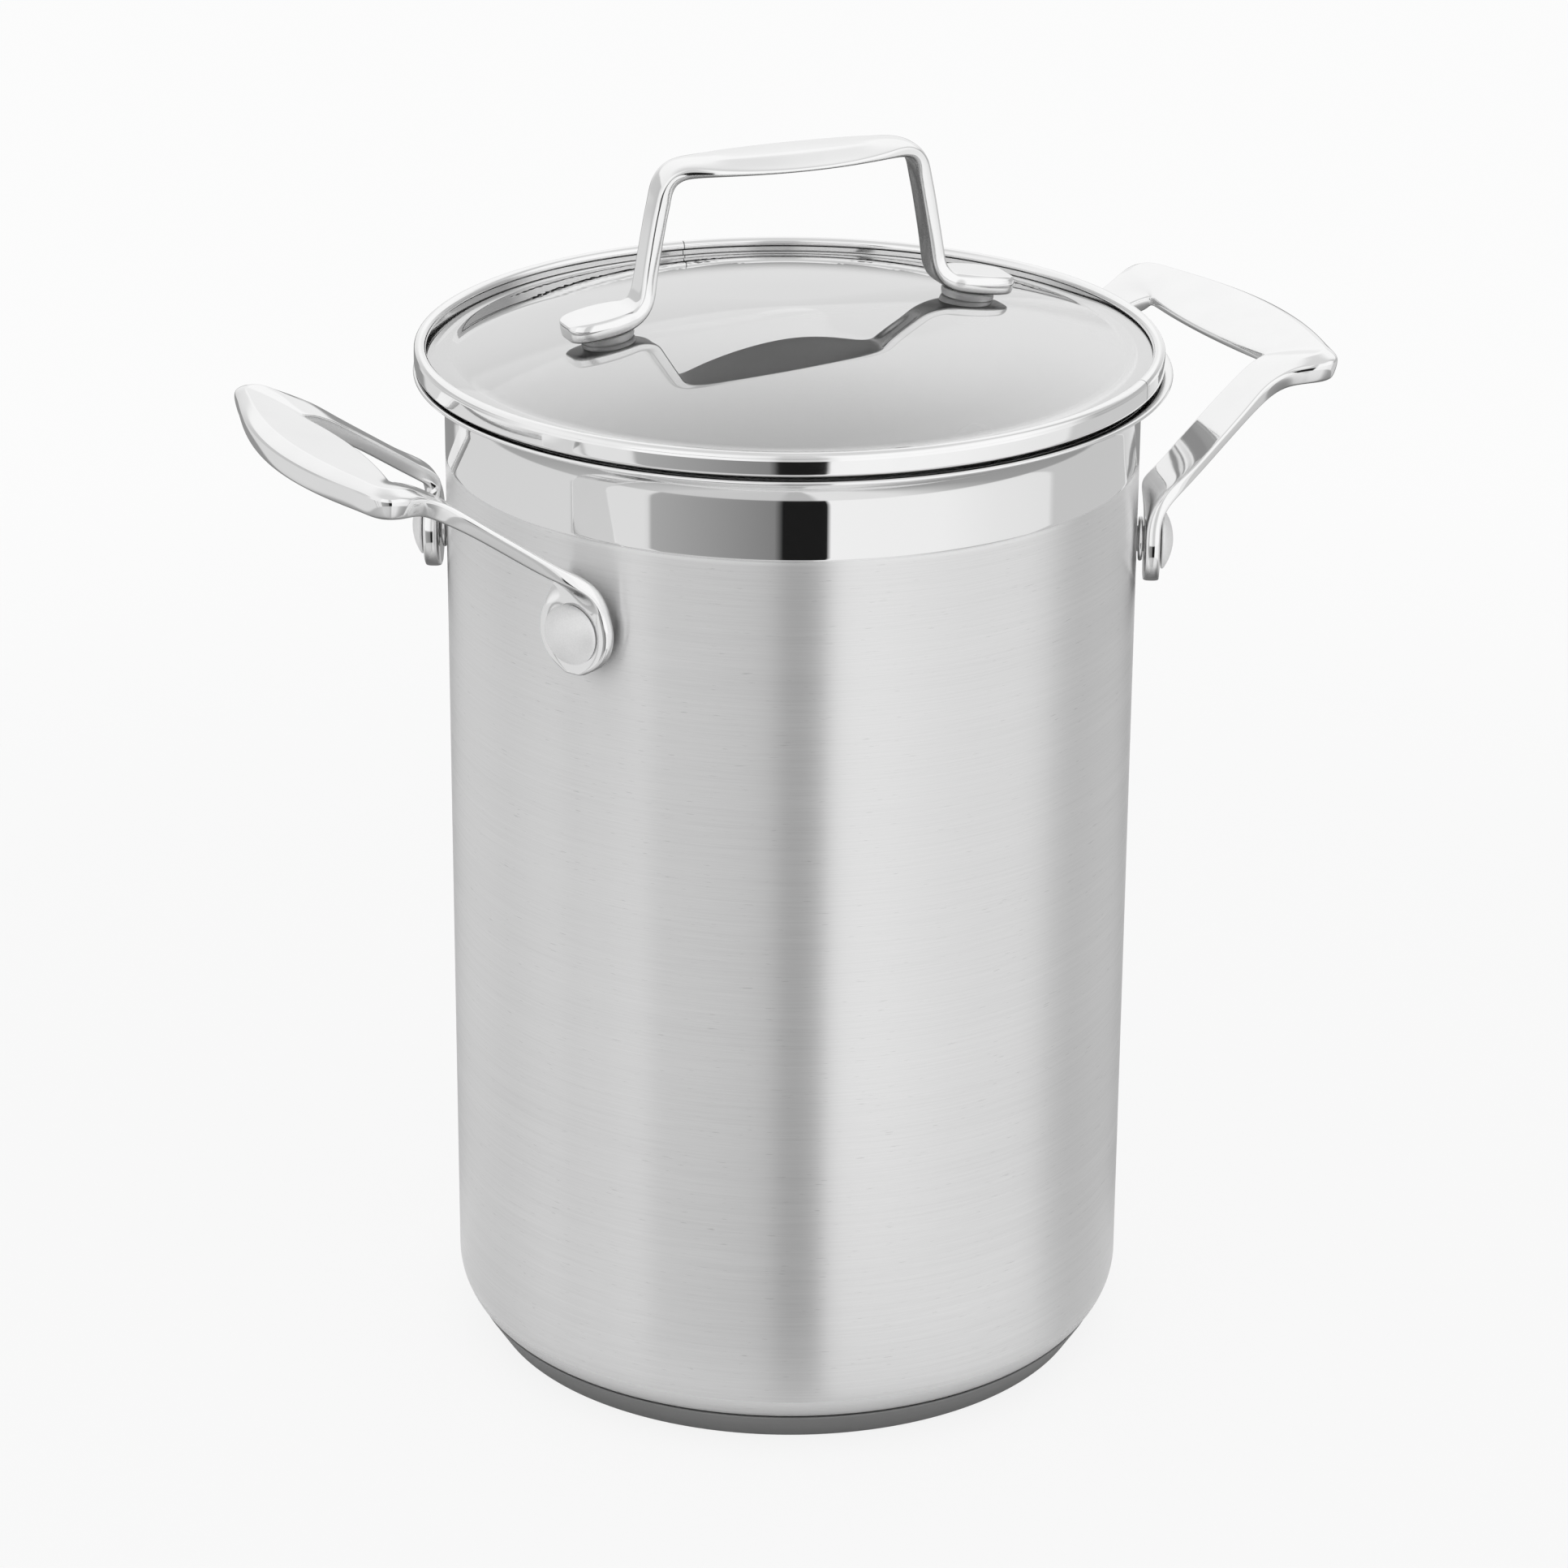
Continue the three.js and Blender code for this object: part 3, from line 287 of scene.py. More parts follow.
@dataclass(frozen=True)
class BrushedWall(Finish):
    """Wall brushed around the pot, with a mirror band under the lip and a satin inside."""

    band_foot: float = 0.2216  # metres above the floor
    band_edge: float = 0.0003
    band_level: float = 0.9
    band_roughness: float = 0.05
    inside_radius: float = 0.0804
    inside_edge: float = 0.0001
    inside_roughness: float = 0.24
    hair_grain: Grain = (70, 70, 6500)
    stroke_grain: Grain = (22, 22, 1500)
    stripe_grain: Grain = (5, 5, 160)
    dash_grain: Grain = (260, 260, 3600)
    dash_level: float = 0.45  # of the wall's level
    dash_share: float = 0.35
    foot_low: float = 0.012  # metres, where the painted shade at the wall's foot is darkest
    foot_high: float = 0.11
    foot_shade_level: float = 0.3
    foot_share: float = 0.09
    relief_depth: float = 0.00006

    def paint(self, graph: NodeGraph) -> dict:
        """Streaks in colour, gloss and relief that stop at the mirror band, and painted shade towards the
        wall's foot.
        """
        place = graph.place()
        x, y, height = graph.parts(place)
        hairs = graph.noise(place, self.hair_grain, 3, 0.6)
        strokes = graph.noise(place, self.stroke_grain, 2)
        stripes = graph.noise(place, self.stripe_grain, 2)
        dashes = graph.noise(place, self.dash_grain, 1).rise(0.7, 0.8)
        radius = graph.length(x, y)
        outside = radius.rise(self.inside_radius - self.inside_edge, self.inside_radius + self.inside_edge)
        mirror = height.rise(self.band_foot, self.band_foot + self.band_edge) * outside
        brushed = 1 - mirror
        streak = hairs * 0.5 + strokes * 0.3 + stripes * 0.2
        scratched = dashes * brushed * self.dash_share
        wall = graph.blend(scratched, self.tint(graph, streak, 0.16), grey(self.level * self.dash_level))
        # painted shade: the wall's colour darkens towards its foot
        shaded = (1 - height.rise(self.foot_low, self.foot_high)) * self.foot_share
        wall = graph.blend(shaded, wall, grey(self.level * self.foot_shade_level))
        satin = self.roughness + (streak - 0.5) * 0.16
        dull = outside * satin + (1 - outside) * self.inside_roughness
        relief = (hairs * 0.6 + strokes * 0.4 - dashes * 0.4) * brushed
        return {
            "Base Color": graph.blend(mirror, wall, grey(self.band_level)),
            "Metallic": 1.0,
            "Roughness": brushed * dull + mirror * self.band_roughness,
            "Anisotropic": 1.0,
            "Anisotropic Rotation": BRUSH_TURN,
            "Normal": graph.bump(relief, 0.12, self.relief_depth),
        }


@dataclass(frozen=True)
class PolishedSteel(Finish):
    """Mirror polish with the faint unevenness of buffing; undersides get painted shade in their colour and
    duller gloss.
    """

    # grey of the painted shade on undersides
    under_shade_level: float = 0.3
    under_shade_and_dull_start: float = 0.25  # how squarely a surface faces down before it gets painted shade and duller gloss
    under_shade_and_dull_full: float = 0.75
    under_roughness: float = 0.25
    cloud_grain: Grain = (90, 90, 90)
    hair_grain: Grain = (500, 2400, 2400)
    relief_depth: float = 0.00002

    def paint(self, graph: NodeGraph) -> dict:
        """Slow changes of gloss, hair-fine buffing marks, and painted shade with duller gloss on undersides.
        """
        place = graph.place()
        clouds = graph.noise(place, self.cloud_grain, 3)
        hairs = graph.noise(place, self.hair_grain, 2)
        _, _, upward = graph.parts(graph.facing())
        # painted shade: surfaces that face down are darkened in colour, and their gloss is dulled
        under = (upward * -1).rise(self.under_shade_and_dull_start, self.under_shade_and_dull_full)
        uneven = self.roughness + (clouds - 0.5) * 0.05 + (hairs - 0.5) * 0.02
        return {
            "Base Color": graph.blend(under, self.tint(graph, clouds, 0.03), grey(self.under_shade_level)),
            "Metallic": 1.0,
            "Roughness": uneven + under * self.under_roughness,
            "Normal": graph.bump(hairs, 0.03, self.relief_depth),
        }


@dataclass(frozen=True)
class SeamedSteel(PolishedSteel):
    """Polished ring with fine seams across it."""

    seams: tuple[float, ...] = (82.0, -48.1)  # degrees around the pot's axis
    seam_half: float = 0.16
    seam_level: float = 0.12

    def paint(self, graph: NodeGraph) -> dict:
        """Polish with a dark line at each seam."""
        inputs = super().paint(graph)
        x, y, _ = graph.parts(graph.place())
        around = y.angle_from(x) * (180 / math.pi)
        for seam in self.seams:
            line = around.rise(seam - self.seam_half, seam) - around.rise(seam, seam + self.seam_half)
            inputs["Base Color"] = graph.blend(line, inputs["Base Color"], grey(self.seam_level))
        return inputs


@dataclass(frozen=True)
class ShadedChannelSteel(PolishedSteel):
    """Polished arch whose legs have painted shade and duller gloss on the sides that face each other, where
    their channel runs.
    """

    # grey of the painted shade on the sides that face each other
    inner_shade_level: float = 0.3
    inner_shade_and_dull_start: float = 0.02  # metres from the axis, times how squarely the side faces it
    inner_shade_and_dull_full: float = 0.03
    channel_roughness: float = 0.2

    def paint(self, graph: NodeGraph) -> dict:
        """Polish with painted shade and duller gloss on the inner sides."""
        inputs = super().paint(graph)
        x, _, _ = graph.parts(graph.place())
        across, _, _ = graph.parts(graph.facing())
        # painted shade: sides that face the axis are darkened in colour, and their gloss is dulled
        dull = (x * across * -1).rise(self.inner_shade_and_dull_start, self.inner_shade_and_dull_full)
        inputs["Base Color"] = graph.blend(dull, inputs["Base Color"], grey(self.inner_shade_level))
        inputs["Roughness"] = inputs["Roughness"] + dull * self.channel_roughness
        return inputs


@dataclass(frozen=True)
class SatinSteel(Finish):
    """Fine matt grain of blasted or tumbled steel."""

    fine_grain: Grain = (2600, 2600, 2600)
    cloud_grain: Grain = (240, 240, 240)
    metal: float = 0.5
    relief_depth: float = 0.00006

    def paint(self, graph: NodeGraph) -> dict:
        """Even grain in colour, gloss and relief."""
        place = graph.place()
        grains = graph.noise(place, self.fine_grain, 3, 0.65)
        clouds = graph.noise(place, self.cloud_grain, 2)
        return {
            "Base Color": self.tint(graph, grains * 0.7 + clouds * 0.3, 0.14),
            "Metallic": self.metal,
            "Roughness": self.roughness + (grains - 0.5) * 0.2,
            "Normal": graph.bump(grains, 0.3, self.relief_depth),
        }


@dataclass(frozen=True)
class TurnedSteel(Finish):
    """Sheet with fine lines around the pot's axis."""

    line_grain: Grain = (60, 60, 4200)
    cloud_grain: Grain = (30, 30, 120)
    anisotropy: float = 0.5
    metal: float = 1.0
    relief_depth: float = 0.00005

    def paint(self, graph: NodeGraph) -> dict:
        """Lines in colour, gloss and relief."""
        place = graph.place()
        lines = graph.noise(place, self.line_grain, 3, 0.6)
        clouds = graph.noise(place, self.cloud_grain, 2)
        streak = lines * 0.7 + clouds * 0.3
        return {
            "Base Color": self.tint(graph, streak, 0.18),
            "Metallic": self.metal,
            "Roughness": self.roughness + (streak - 0.5) * 0.2,
            "Anisotropic": self.anisotropy,
            "Anisotropic Rotation": BRUSH_TURN,
            "Normal": graph.bump(lines, 0.1, self.relief_depth),
        }


@dataclass(frozen=True)
class ClearGlass(Finish):
    """Toughened glass with the faintest smears, whose reflections run steeper towards the middle."""

    slope: float = 0.2  # of a relief that only steers reflections
    cross_slope: float = 0.1
    bend: float = 1.6
    crest: float = 0.009  # metres over which the middle is rounded
    index: float = 4.0
    clarity: float = 0.9
    sheen: float = 0.75
    sheen_start: float = 0.38  # 0 is seen squarely, 1 is edge on
    sheen_full: float = 0.72
    smear_grain: Grain = (26, 26, 26)

    def paint(self, graph: NodeGraph) -> dict:
        """Clear body whose gloss varies a little and grows towards a glancing view."""
        place = graph.place()
        glancing = graph.node("ShaderNodeLayerWeight", inputs={"Blend": 0.5}, output="Facing")
        smears = graph.noise(place, self.smear_grain, 3).rise(0.55, 0.9)
        x, y, _ = graph.parts(place)
        out = graph.length(x, y, self.crest)
        relief = out * out * self.bend - out * self.slope - graph.length(y, self.crest) * self.cross_slope
        return {
            "Base Color": self.tint(graph, smears, 0.01),
            "Roughness": self.roughness + smears * 0.02,
            "IOR": self.index,
            "Metallic": glancing.rise(self.sheen_start, self.sheen_full) * self.sheen,
            "Transmission Weight": self.clarity,
            "Normal": graph.bump(relief, 1.0, 1.0),
        }


@dataclass(frozen=True)
class Silicone(Finish):
    """Soft translucent rubber."""

    fine_grain: Grain = (1800, 1800, 1800)
    index: float = 1.42
    clarity: float = 0.75
    relief_depth: float = 0.00003

    def paint(self, graph: NodeGraph) -> dict:
        """Milky body with a fine skin."""
        grains = graph.noise(graph.place(), self.fine_grain, 2)
        return {
            "Base Color": self.tint(graph, grains, 0.05),
            "Roughness": self.roughness + (grains - 0.5) * 0.12,
            "IOR": self.index,
            "Transmission Weight": self.clarity,
            "Normal": graph.bump(grains, 0.08, self.relief_depth),
        }


WALL_FINISH = BrushedWall("brushed_steel", 0.95, 0.38)
BASE_FINISH = TurnedSteel("base_steel", 0.24, 0.5, metal=0.4)
CORE_FINISH = TurnedSteel("aluminium", 0.62, 0.5)
POLISHED_FINISH = PolishedSteel("polished_steel", 0.94, 0.07)
BAND_FINISH = SeamedSteel("polished_steel", 0.94, 0.06)
GRIP_FINISH = ShadedChannelSteel("polished_steel", 0.94, 0.07)
SATIN_FINISH = SatinSteel("satin_steel", 0.92, 0.5)
GLASS_FINISH = ClearGlass("clear_glass", 0.85, 0.0)
SILICONE_FINISH = Silicone("silicone", 0.86, 0.3)
BASKET_FINISH = TurnedSteel("basket_steel", 0.74, 0.24)


class Profile:
    """Points of a turned section, as radius and height."""

    def __init__(self) -> None:
        """Starts empty."""
        self.points: list[Point] = []

    def to(self, *points: Point) -> "Profile":
        """Straight on to each point."""
        self.points.extend(points)
        return self

    def arc(self, centre: Point, reach: Union[float, Point], start: float, end: float,
            steps: int = 8) -> "Profile":
        """A round or oval stretch.

        Args:
            centre: its middle.
            reach: its radius, or its half width and half height.
            start: first angle in degrees, from the outward direction.
            end: last angle in degrees.
            steps: straight pieces along it.

        Returns:
            This profile.
        """
        wide, high = reach if isinstance(reach, tuple) else (reach, reach)
        for step in range(steps + 1):
            angle = math.radians(start + (end - start) * step / steps)
            self.points.append((centre[0] + wide * math.cos(angle), centre[1] + high * math.sin(angle)))
        return self

    def head(self, radius: float, rise: float, base: float, way: float = 1.0) -> "Profile":
        """A domed head from its edge to its crown, rising from base along the way given."""
        ball = (radius ** 2 + rise ** 2) / (2 * rise)
        edge = math.degrees(math.asin(radius / ball))
        return self.arc((0.0, base + way * (rise - ball)), (ball, way * ball), 90 - edge, 90, 10)


class Workpiece:
    """A mesh being shaped, in millimetres."""

    def __init__(self) -> None:
        """Starts from an empty bmesh."""
        self.bm = bmesh.new()

    def turn(self, profile: Profile, steps: int = ROUND_STEPS, ring: bool = False) -> "Workpiece":
        """Spins a profile about Z. A ring's profile is closed on itself."""
        verts = [self.bm.verts.new((radius, 0.0, height)) for radius, height in profile.points]
        pairs = list(zip(verts, verts[1:])) + ([(verts[-1], verts[0])] if ring else [])
        edges = [self.bm.edges.new(pair) for pair in pairs]
        bmesh.ops.spin(self.bm, geom=verts + edges, cent=(0, 0, 0), axis=(0, 0, 1), dvec=(0, 0, 0),
                       angle=FULL_TURN, steps=steps, use_merge=True)
        return self.weld()

    def weld(self) -> "Workpiece":
        """Joins points that meet and turns every face outwards."""
        bmesh.ops.remove_doubles(self.bm, verts=self.bm.verts[:], dist=WELD)
        bmesh.ops.recalc_face_normals(self.bm, faces=self.bm.faces[:])
        return self

    def loop(self, points: Iterable[Vector]) -> list[bmesh.types.BMVert]:
        """A closed ring of new points and edges."""
        verts = [self.bm.verts.new(point) for point in points]
        for pair in zip(verts, verts[1:] + verts[:1]):
            self.bm.edges.new(pair)
        return verts

    def grow(self, ring: list[bmesh.types.BMVert], points: Sequence[Vector]) -> list[bmesh.types.BMVert]:
        """Extrudes a closed ring of points and moves the new ring into place.

        Args:
            ring: the ring to go on from.
            points: where each of its points goes.

        Returns:
            The new ring, in the same order.
        """
        edges = [self.bm.edges.get(pair) for pair in zip(ring, ring[1:] + ring[:1])]
        made = bmesh.ops.extrude_edge_only(self.bm, edges=edges)["geom"]
        fresh = {item for item in made if isinstance(item, bmesh.types.BMVert)}
        partners = []
        for vert, point in zip(ring, points):
            partner = next(edge.other_vert(vert) for edge in vert.link_edges
                           if edge.other_vert(vert) in fresh)
            partner.co = point
            partners.append(partner)
        return partners

    def loft(self, sections: Sequence[Sequence[Vector]]) -> list[list[bmesh.types.BMVert]]:
        """A closed skin through rings of points, capped at both ends.

        Args:
            sections: rings with as many points each.

        Returns:
            The rings of the skin.
        """
        rings = [self.loop(sections[0])]
        for section in sections[1:]:
            rings.append(self.grow(rings[-1], section))
        for end in (rings[0], rings[-1]):
            self.bm.faces.new(end)
        bmesh.ops.recalc_face_normals(self.bm, faces=self.bm.faces[:])
        return rings

    def crease(self, first: bmesh.types.BMVert, second: bmesh.types.BMVert, sharpness: float) -> None:
        """Keeps an edge crisp under subdivision."""
        layer = self.bm.edges.layers.float.get("crease_edge") or self.bm.edges.layers.float.new("crease_edge")
        self.bm.edges.get((first, second))[layer] = sharpness

    def crease_line(self, rings: Sequence[Sequence[bmesh.types.BMVert]], place: int,
                    sharpness: float) -> None:
        """Keeps the line through the same place of each ring crisp."""
        for first, second in zip(rings, rings[1:]):
            self.crease(first[place], second[place], sharpness)

    def move(self, *matrices: Matrix) -> "Workpiece":
        """Applies transforms, first one first."""
        for matrix in matrices:
            bmesh.ops.transform(self.bm, matrix=matrix, verts=self.bm.verts[:])
        return self

    def shape(self, rule: Callable[[Vector], Vector]) -> "Workpiece":
        """Moves every point by a rule."""
        for vert in self.bm.verts:
            vert.co = rule(vert.co.copy())
        return self

    def piece(self, name: str, finish: Finish, body: str, node: str, smooth: int = 0,
              wall: float = 0.0) -> bpy.types.Object:
        """Stores the mesh as a finished piece of the object.

        Args:
            name: the piece's name.
            finish: its finish.
            body: the moving body that carries it.
            node: the node it stands for.
            smooth: subdivision levels.
            wall: thickness given to an open sheet, inwards, in millimetres.

        Returns:
            The piece.
        """
        bmesh.ops.scale(self.bm, vec=(MILLIMETRE,) * 3, verts=self.bm.verts[:])
        mesh = bpy.data.meshes.new(name)
        self.bm.to_mesh(mesh)
        self.bm.free()
        mesh.shade_smooth()
        if not smooth:
            mesh.set_sharp_from_angle(angle=SHARP_EDGE)
        mesh.materials.append(finish.material())
        made = bpy.data.objects.new(name, mesh)
        bpy.context.scene.collection.objects.link(made)
        if wall:
            thicken = made.modifiers.new("sheet", "SOLIDIFY")
            thicken.thickness = wall * MILLIMETRE
            thicken.offset = -1.0
        if smooth:
            divide = made.modifiers.new("rounding", "SUBSURF")
            divide.levels = divide.render_levels = smooth
        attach(made, body)
        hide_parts(node)
        LOG.info("%s rides on %s for %s, %d faces", name, body, node, len(mesh.polygons))
        return made


def turned_about_z(angle: float) -> Matrix:
    """A turn about the pot's axis, in radians."""
    return Matrix.Rotation(angle, 4, "Z")


def laid_along_x(height: float) -> Matrix:
    """Lays a piece turned about Z along +X, at a height in millimetres."""
    return Matrix.Translation((0, 0, height)) @ Matrix.Rotation(math.pi / 2, 4, "Y")


def fixings(side: Side, angle: float, height: float) -> list[tuple[str, Matrix]]:
    """The two fixings on one side of the pot.

    Args:
        side: the side.
        angle: of each fixing from the X axis, in radians.
        height: in millimetres.

    Returns:
        For each, the words that end its name, and the place of a piece turned about Z.
    """
    places = []
    for end in End:
        way = end.way if side is Side.RIGHT else -end.way
        place = turned_about_z(side.turn + way * angle) @ laid_along_x(height)
        places.append((f"{side.word}_{end.word}", place))
    return places


@dataclass
class Pot:
    """Deep-drawn shell and base dish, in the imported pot's lengths."""

    radius: float = 81.0
    wall: float = 1.0
    height: float = 242.3
    flare: float = 6.5
    lip: float = 0.6
    lip_round: float = 0.5
    corner: float = 13.0
    floor_under: float = 6.2
    seam_inset: float = 3.9
    seam_rise: float = 1.37
    ledge: float = 2.2
    seam_gap: float = 0.5
    dish_sheet: float = 0.8
    dish_taper: float = 3.85
    dish_edge: float = 1.1
    dish_rim: float = 0.3
    dish_fillet: Point = (2.0, 0.4)
    band_foot: float = 221.6  # lower edge of the mirror band
    band_groove: float = 0.12
    groove_step: float = 0.25  # height of each slope of the groove, and of its flat
    brace: float = 0.6  # keeps the shading of a flat stretch clear of its bends

    @property
    def inside(self) -> float:
        """Radius of the inside of the wall."""
        return self.radius - self.wall

    @property
    def flare_foot(self) -> float:
        """Height where the wall starts to turn out."""
        return self.height - self.wall - self.flare

    @property
    def flare_centre(self) -> float:
        """Radius of the middle of the flare's arc."""
        return self.radius + self.flare

    @property
    def lip_radius(self) -> float:
        """Radius of the lip's edge."""
        return self.flare_centre + self.lip

    @property
    def seam(self) -> Point:
        """Edge of the shell over the base dish."""
        return (self.radius - self.seam_inset, self.floor_under + self.seam_rise)

    def build(self) -> None:
        """Makes the shell and the base dish."""
        self.build_shell().piece("pot_shell", WALL_FINISH, "pot", "pot_body")
        self.build_dish().piece("base_dish", BASE_FINISH, "pot", "base_cap")

    def build_shell(self) -> Workpiece:
        """Floor, rounded corner, wall with its mirror band, flared lip and inside."""
        seam_radius, seam_height = self.seam
        turn_in = math.degrees(math.acos(1 - self.seam_inset / self.corner))
        corner_height = seam_height + self.corner * math.sin(math.radians(turn_in))
        floor_top = self.floor_under + self.wall
        inner_corner = corner_height - floor_top
        edge = self.lip_radius - self.lip_round
        profile = Profile()
        profile.to((0, self.floor_under), (seam_radius - self.ledge, self.floor_under),
                   (seam_radius - self.ledge, seam_height))
        profile.arc((self.radius - self.corner, corner_height), self.corner, -turn_in, 0, 16)
        groove = self.radius - self.band_groove
        foot, step = self.band_foot, self.groove_step
        profile.to((self.radius, corner_height + self.brace), (self.radius, foot - 2 * step - self.brace),
                   (self.radius, foot - 2 * step), (groove, foot - step), (groove, foot),
                   (self.radius, foot + step), (self.radius, foot + step + self.brace),
                   (self.radius, self.flare_foot - self.brace))
        profile.arc((self.flare_centre, self.flare_foot), self.flare, 180, 90, 20)
        profile.arc((edge, self.height - self.wall / 2), (self.lip_round, self.wall / 2), -90, 90, 8)
        profile.arc((self.flare_centre, self.flare_foot), self.flare + self.wall, 90, 180, 16)
        profile.to((self.inside, self.flare_foot - self.brace), (self.inside, corner_height + self.brace))
        profile.arc((self.inside - inner_corner, corner_height), inner_corner, 0, -90, 12)
        profile.to((0, floor_top))
        return Workpiece().turn(profile)

    def build_dish(self) -> Workpiece:
        """Shallow dish that closes over the core, with a soft lower edge."""
        seam_radius, seam_height = self.seam
        top = seam_height - self.seam_gap
        foot = seam_radius - self.dish_taper
        profile = Profile().to((0, 0))
        profile.arc((foot - self.dish_edge, self.dish_edge), self.dish_edge, -90, -30, 6)
        half = self.dish_sheet / 2
        profile.arc((seam_radius - half, top - self.dish_rim), (half, self.dish_rim), -30, 180, 8)
        along, up = self.dish_fillet
        profile.to((foot - self.dish_sheet, self.dish_sheet + up), (foot - along, self.dish_sheet),
                   (0, self.dish_sheet))
        return Workpiece().turn(profile)


@dataclass(frozen=True)
class StrapSection:
    """Outline across a bent strap: five points on each face and two at each edge."""

    EDGE_LIMIT: ClassVar[float] = 0.22  # largest share of the width that an edge's rounding takes
    MIDDLE_SHARES: ClassVar[tuple[float, ...]] = (0.32, 0.5, 0.68)
    EDGE_PLACES: ClassVar[Point] = (0.18, 0.84)  # of an edge's two points, as shares of the thickness

    shares: tuple[float, ...]  # places of the points across the strap, from 0 to 1
    top: tuple[float, ...]  # heights over the middle of the sheet
    under: tuple[float, ...]
    taper: float = 0.0  # share by which the underside is narrower

    @classmethod
    def flat(cls, width: float, thick: float, edge: float, hollow: float = 0.0,
             taper: float = 0.0) -> "StrapSection":
        """Even strap.

        Args:
            width: from edge to edge.
            thick: its thickness.
            edge: rounding of the edges, along the width.
            hollow: depth of a channel in the underside.
            taper: share by which the underside is narrower.

        Returns:
            The section.
        """
        near, half = min(edge / width, cls.EDGE_LIMIT), thick / 2
        dip = hollow - half
        shares = (near, *cls.MIDDLE_SHARES, 1 - near)
        return cls(shares, (half,) * 5, (-half, dip, dip, dip, -half), taper)

    def mixed(self, other: "StrapSection", weight: float) -> "StrapSection":
        """Section part of the way to another one."""
        pairs = ((self.shares, other.shares), (self.top, other.top), (self.under, other.under))
        lines = (tuple(a + (b - a) * weight for a, b in zip(*pair)) for pair in pairs)
        return StrapSection(*lines, self.taper + (other.taper - self.taper) * weight)

    def ring(self, at: Callable[[float, float], Vector]) -> list[Vector]:
        """Points around the strap.

        Args:
            at: place for a share of the width and a height.

        Returns:
            Fourteen points: top face, far edge, underside and near edge.
        """
        narrow = 1 - self.taper
        high, low = self.EDGE_PLACES
        upper = [at(share, height) for share, height in zip(self.shares, self.top)]
        lower = [at(0.5 + (share - 0.5) * narrow, height) for share, height in zip(self.shares, self.under)]
        drop = self.under[-1] - self.top[-1]
        far = [at(1.0, self.top[-1] + drop * high), at(0.5 + 0.5 * narrow, self.top[-1] + drop * low)]
        drop = self.under[0] - self.top[0]
        near = [at(0.5 - 0.5 * narrow, self.top[0] + drop * low), at(0.0, self.top[0] + drop * high)]
        return [*upper, *far, *reversed(lower), *near]


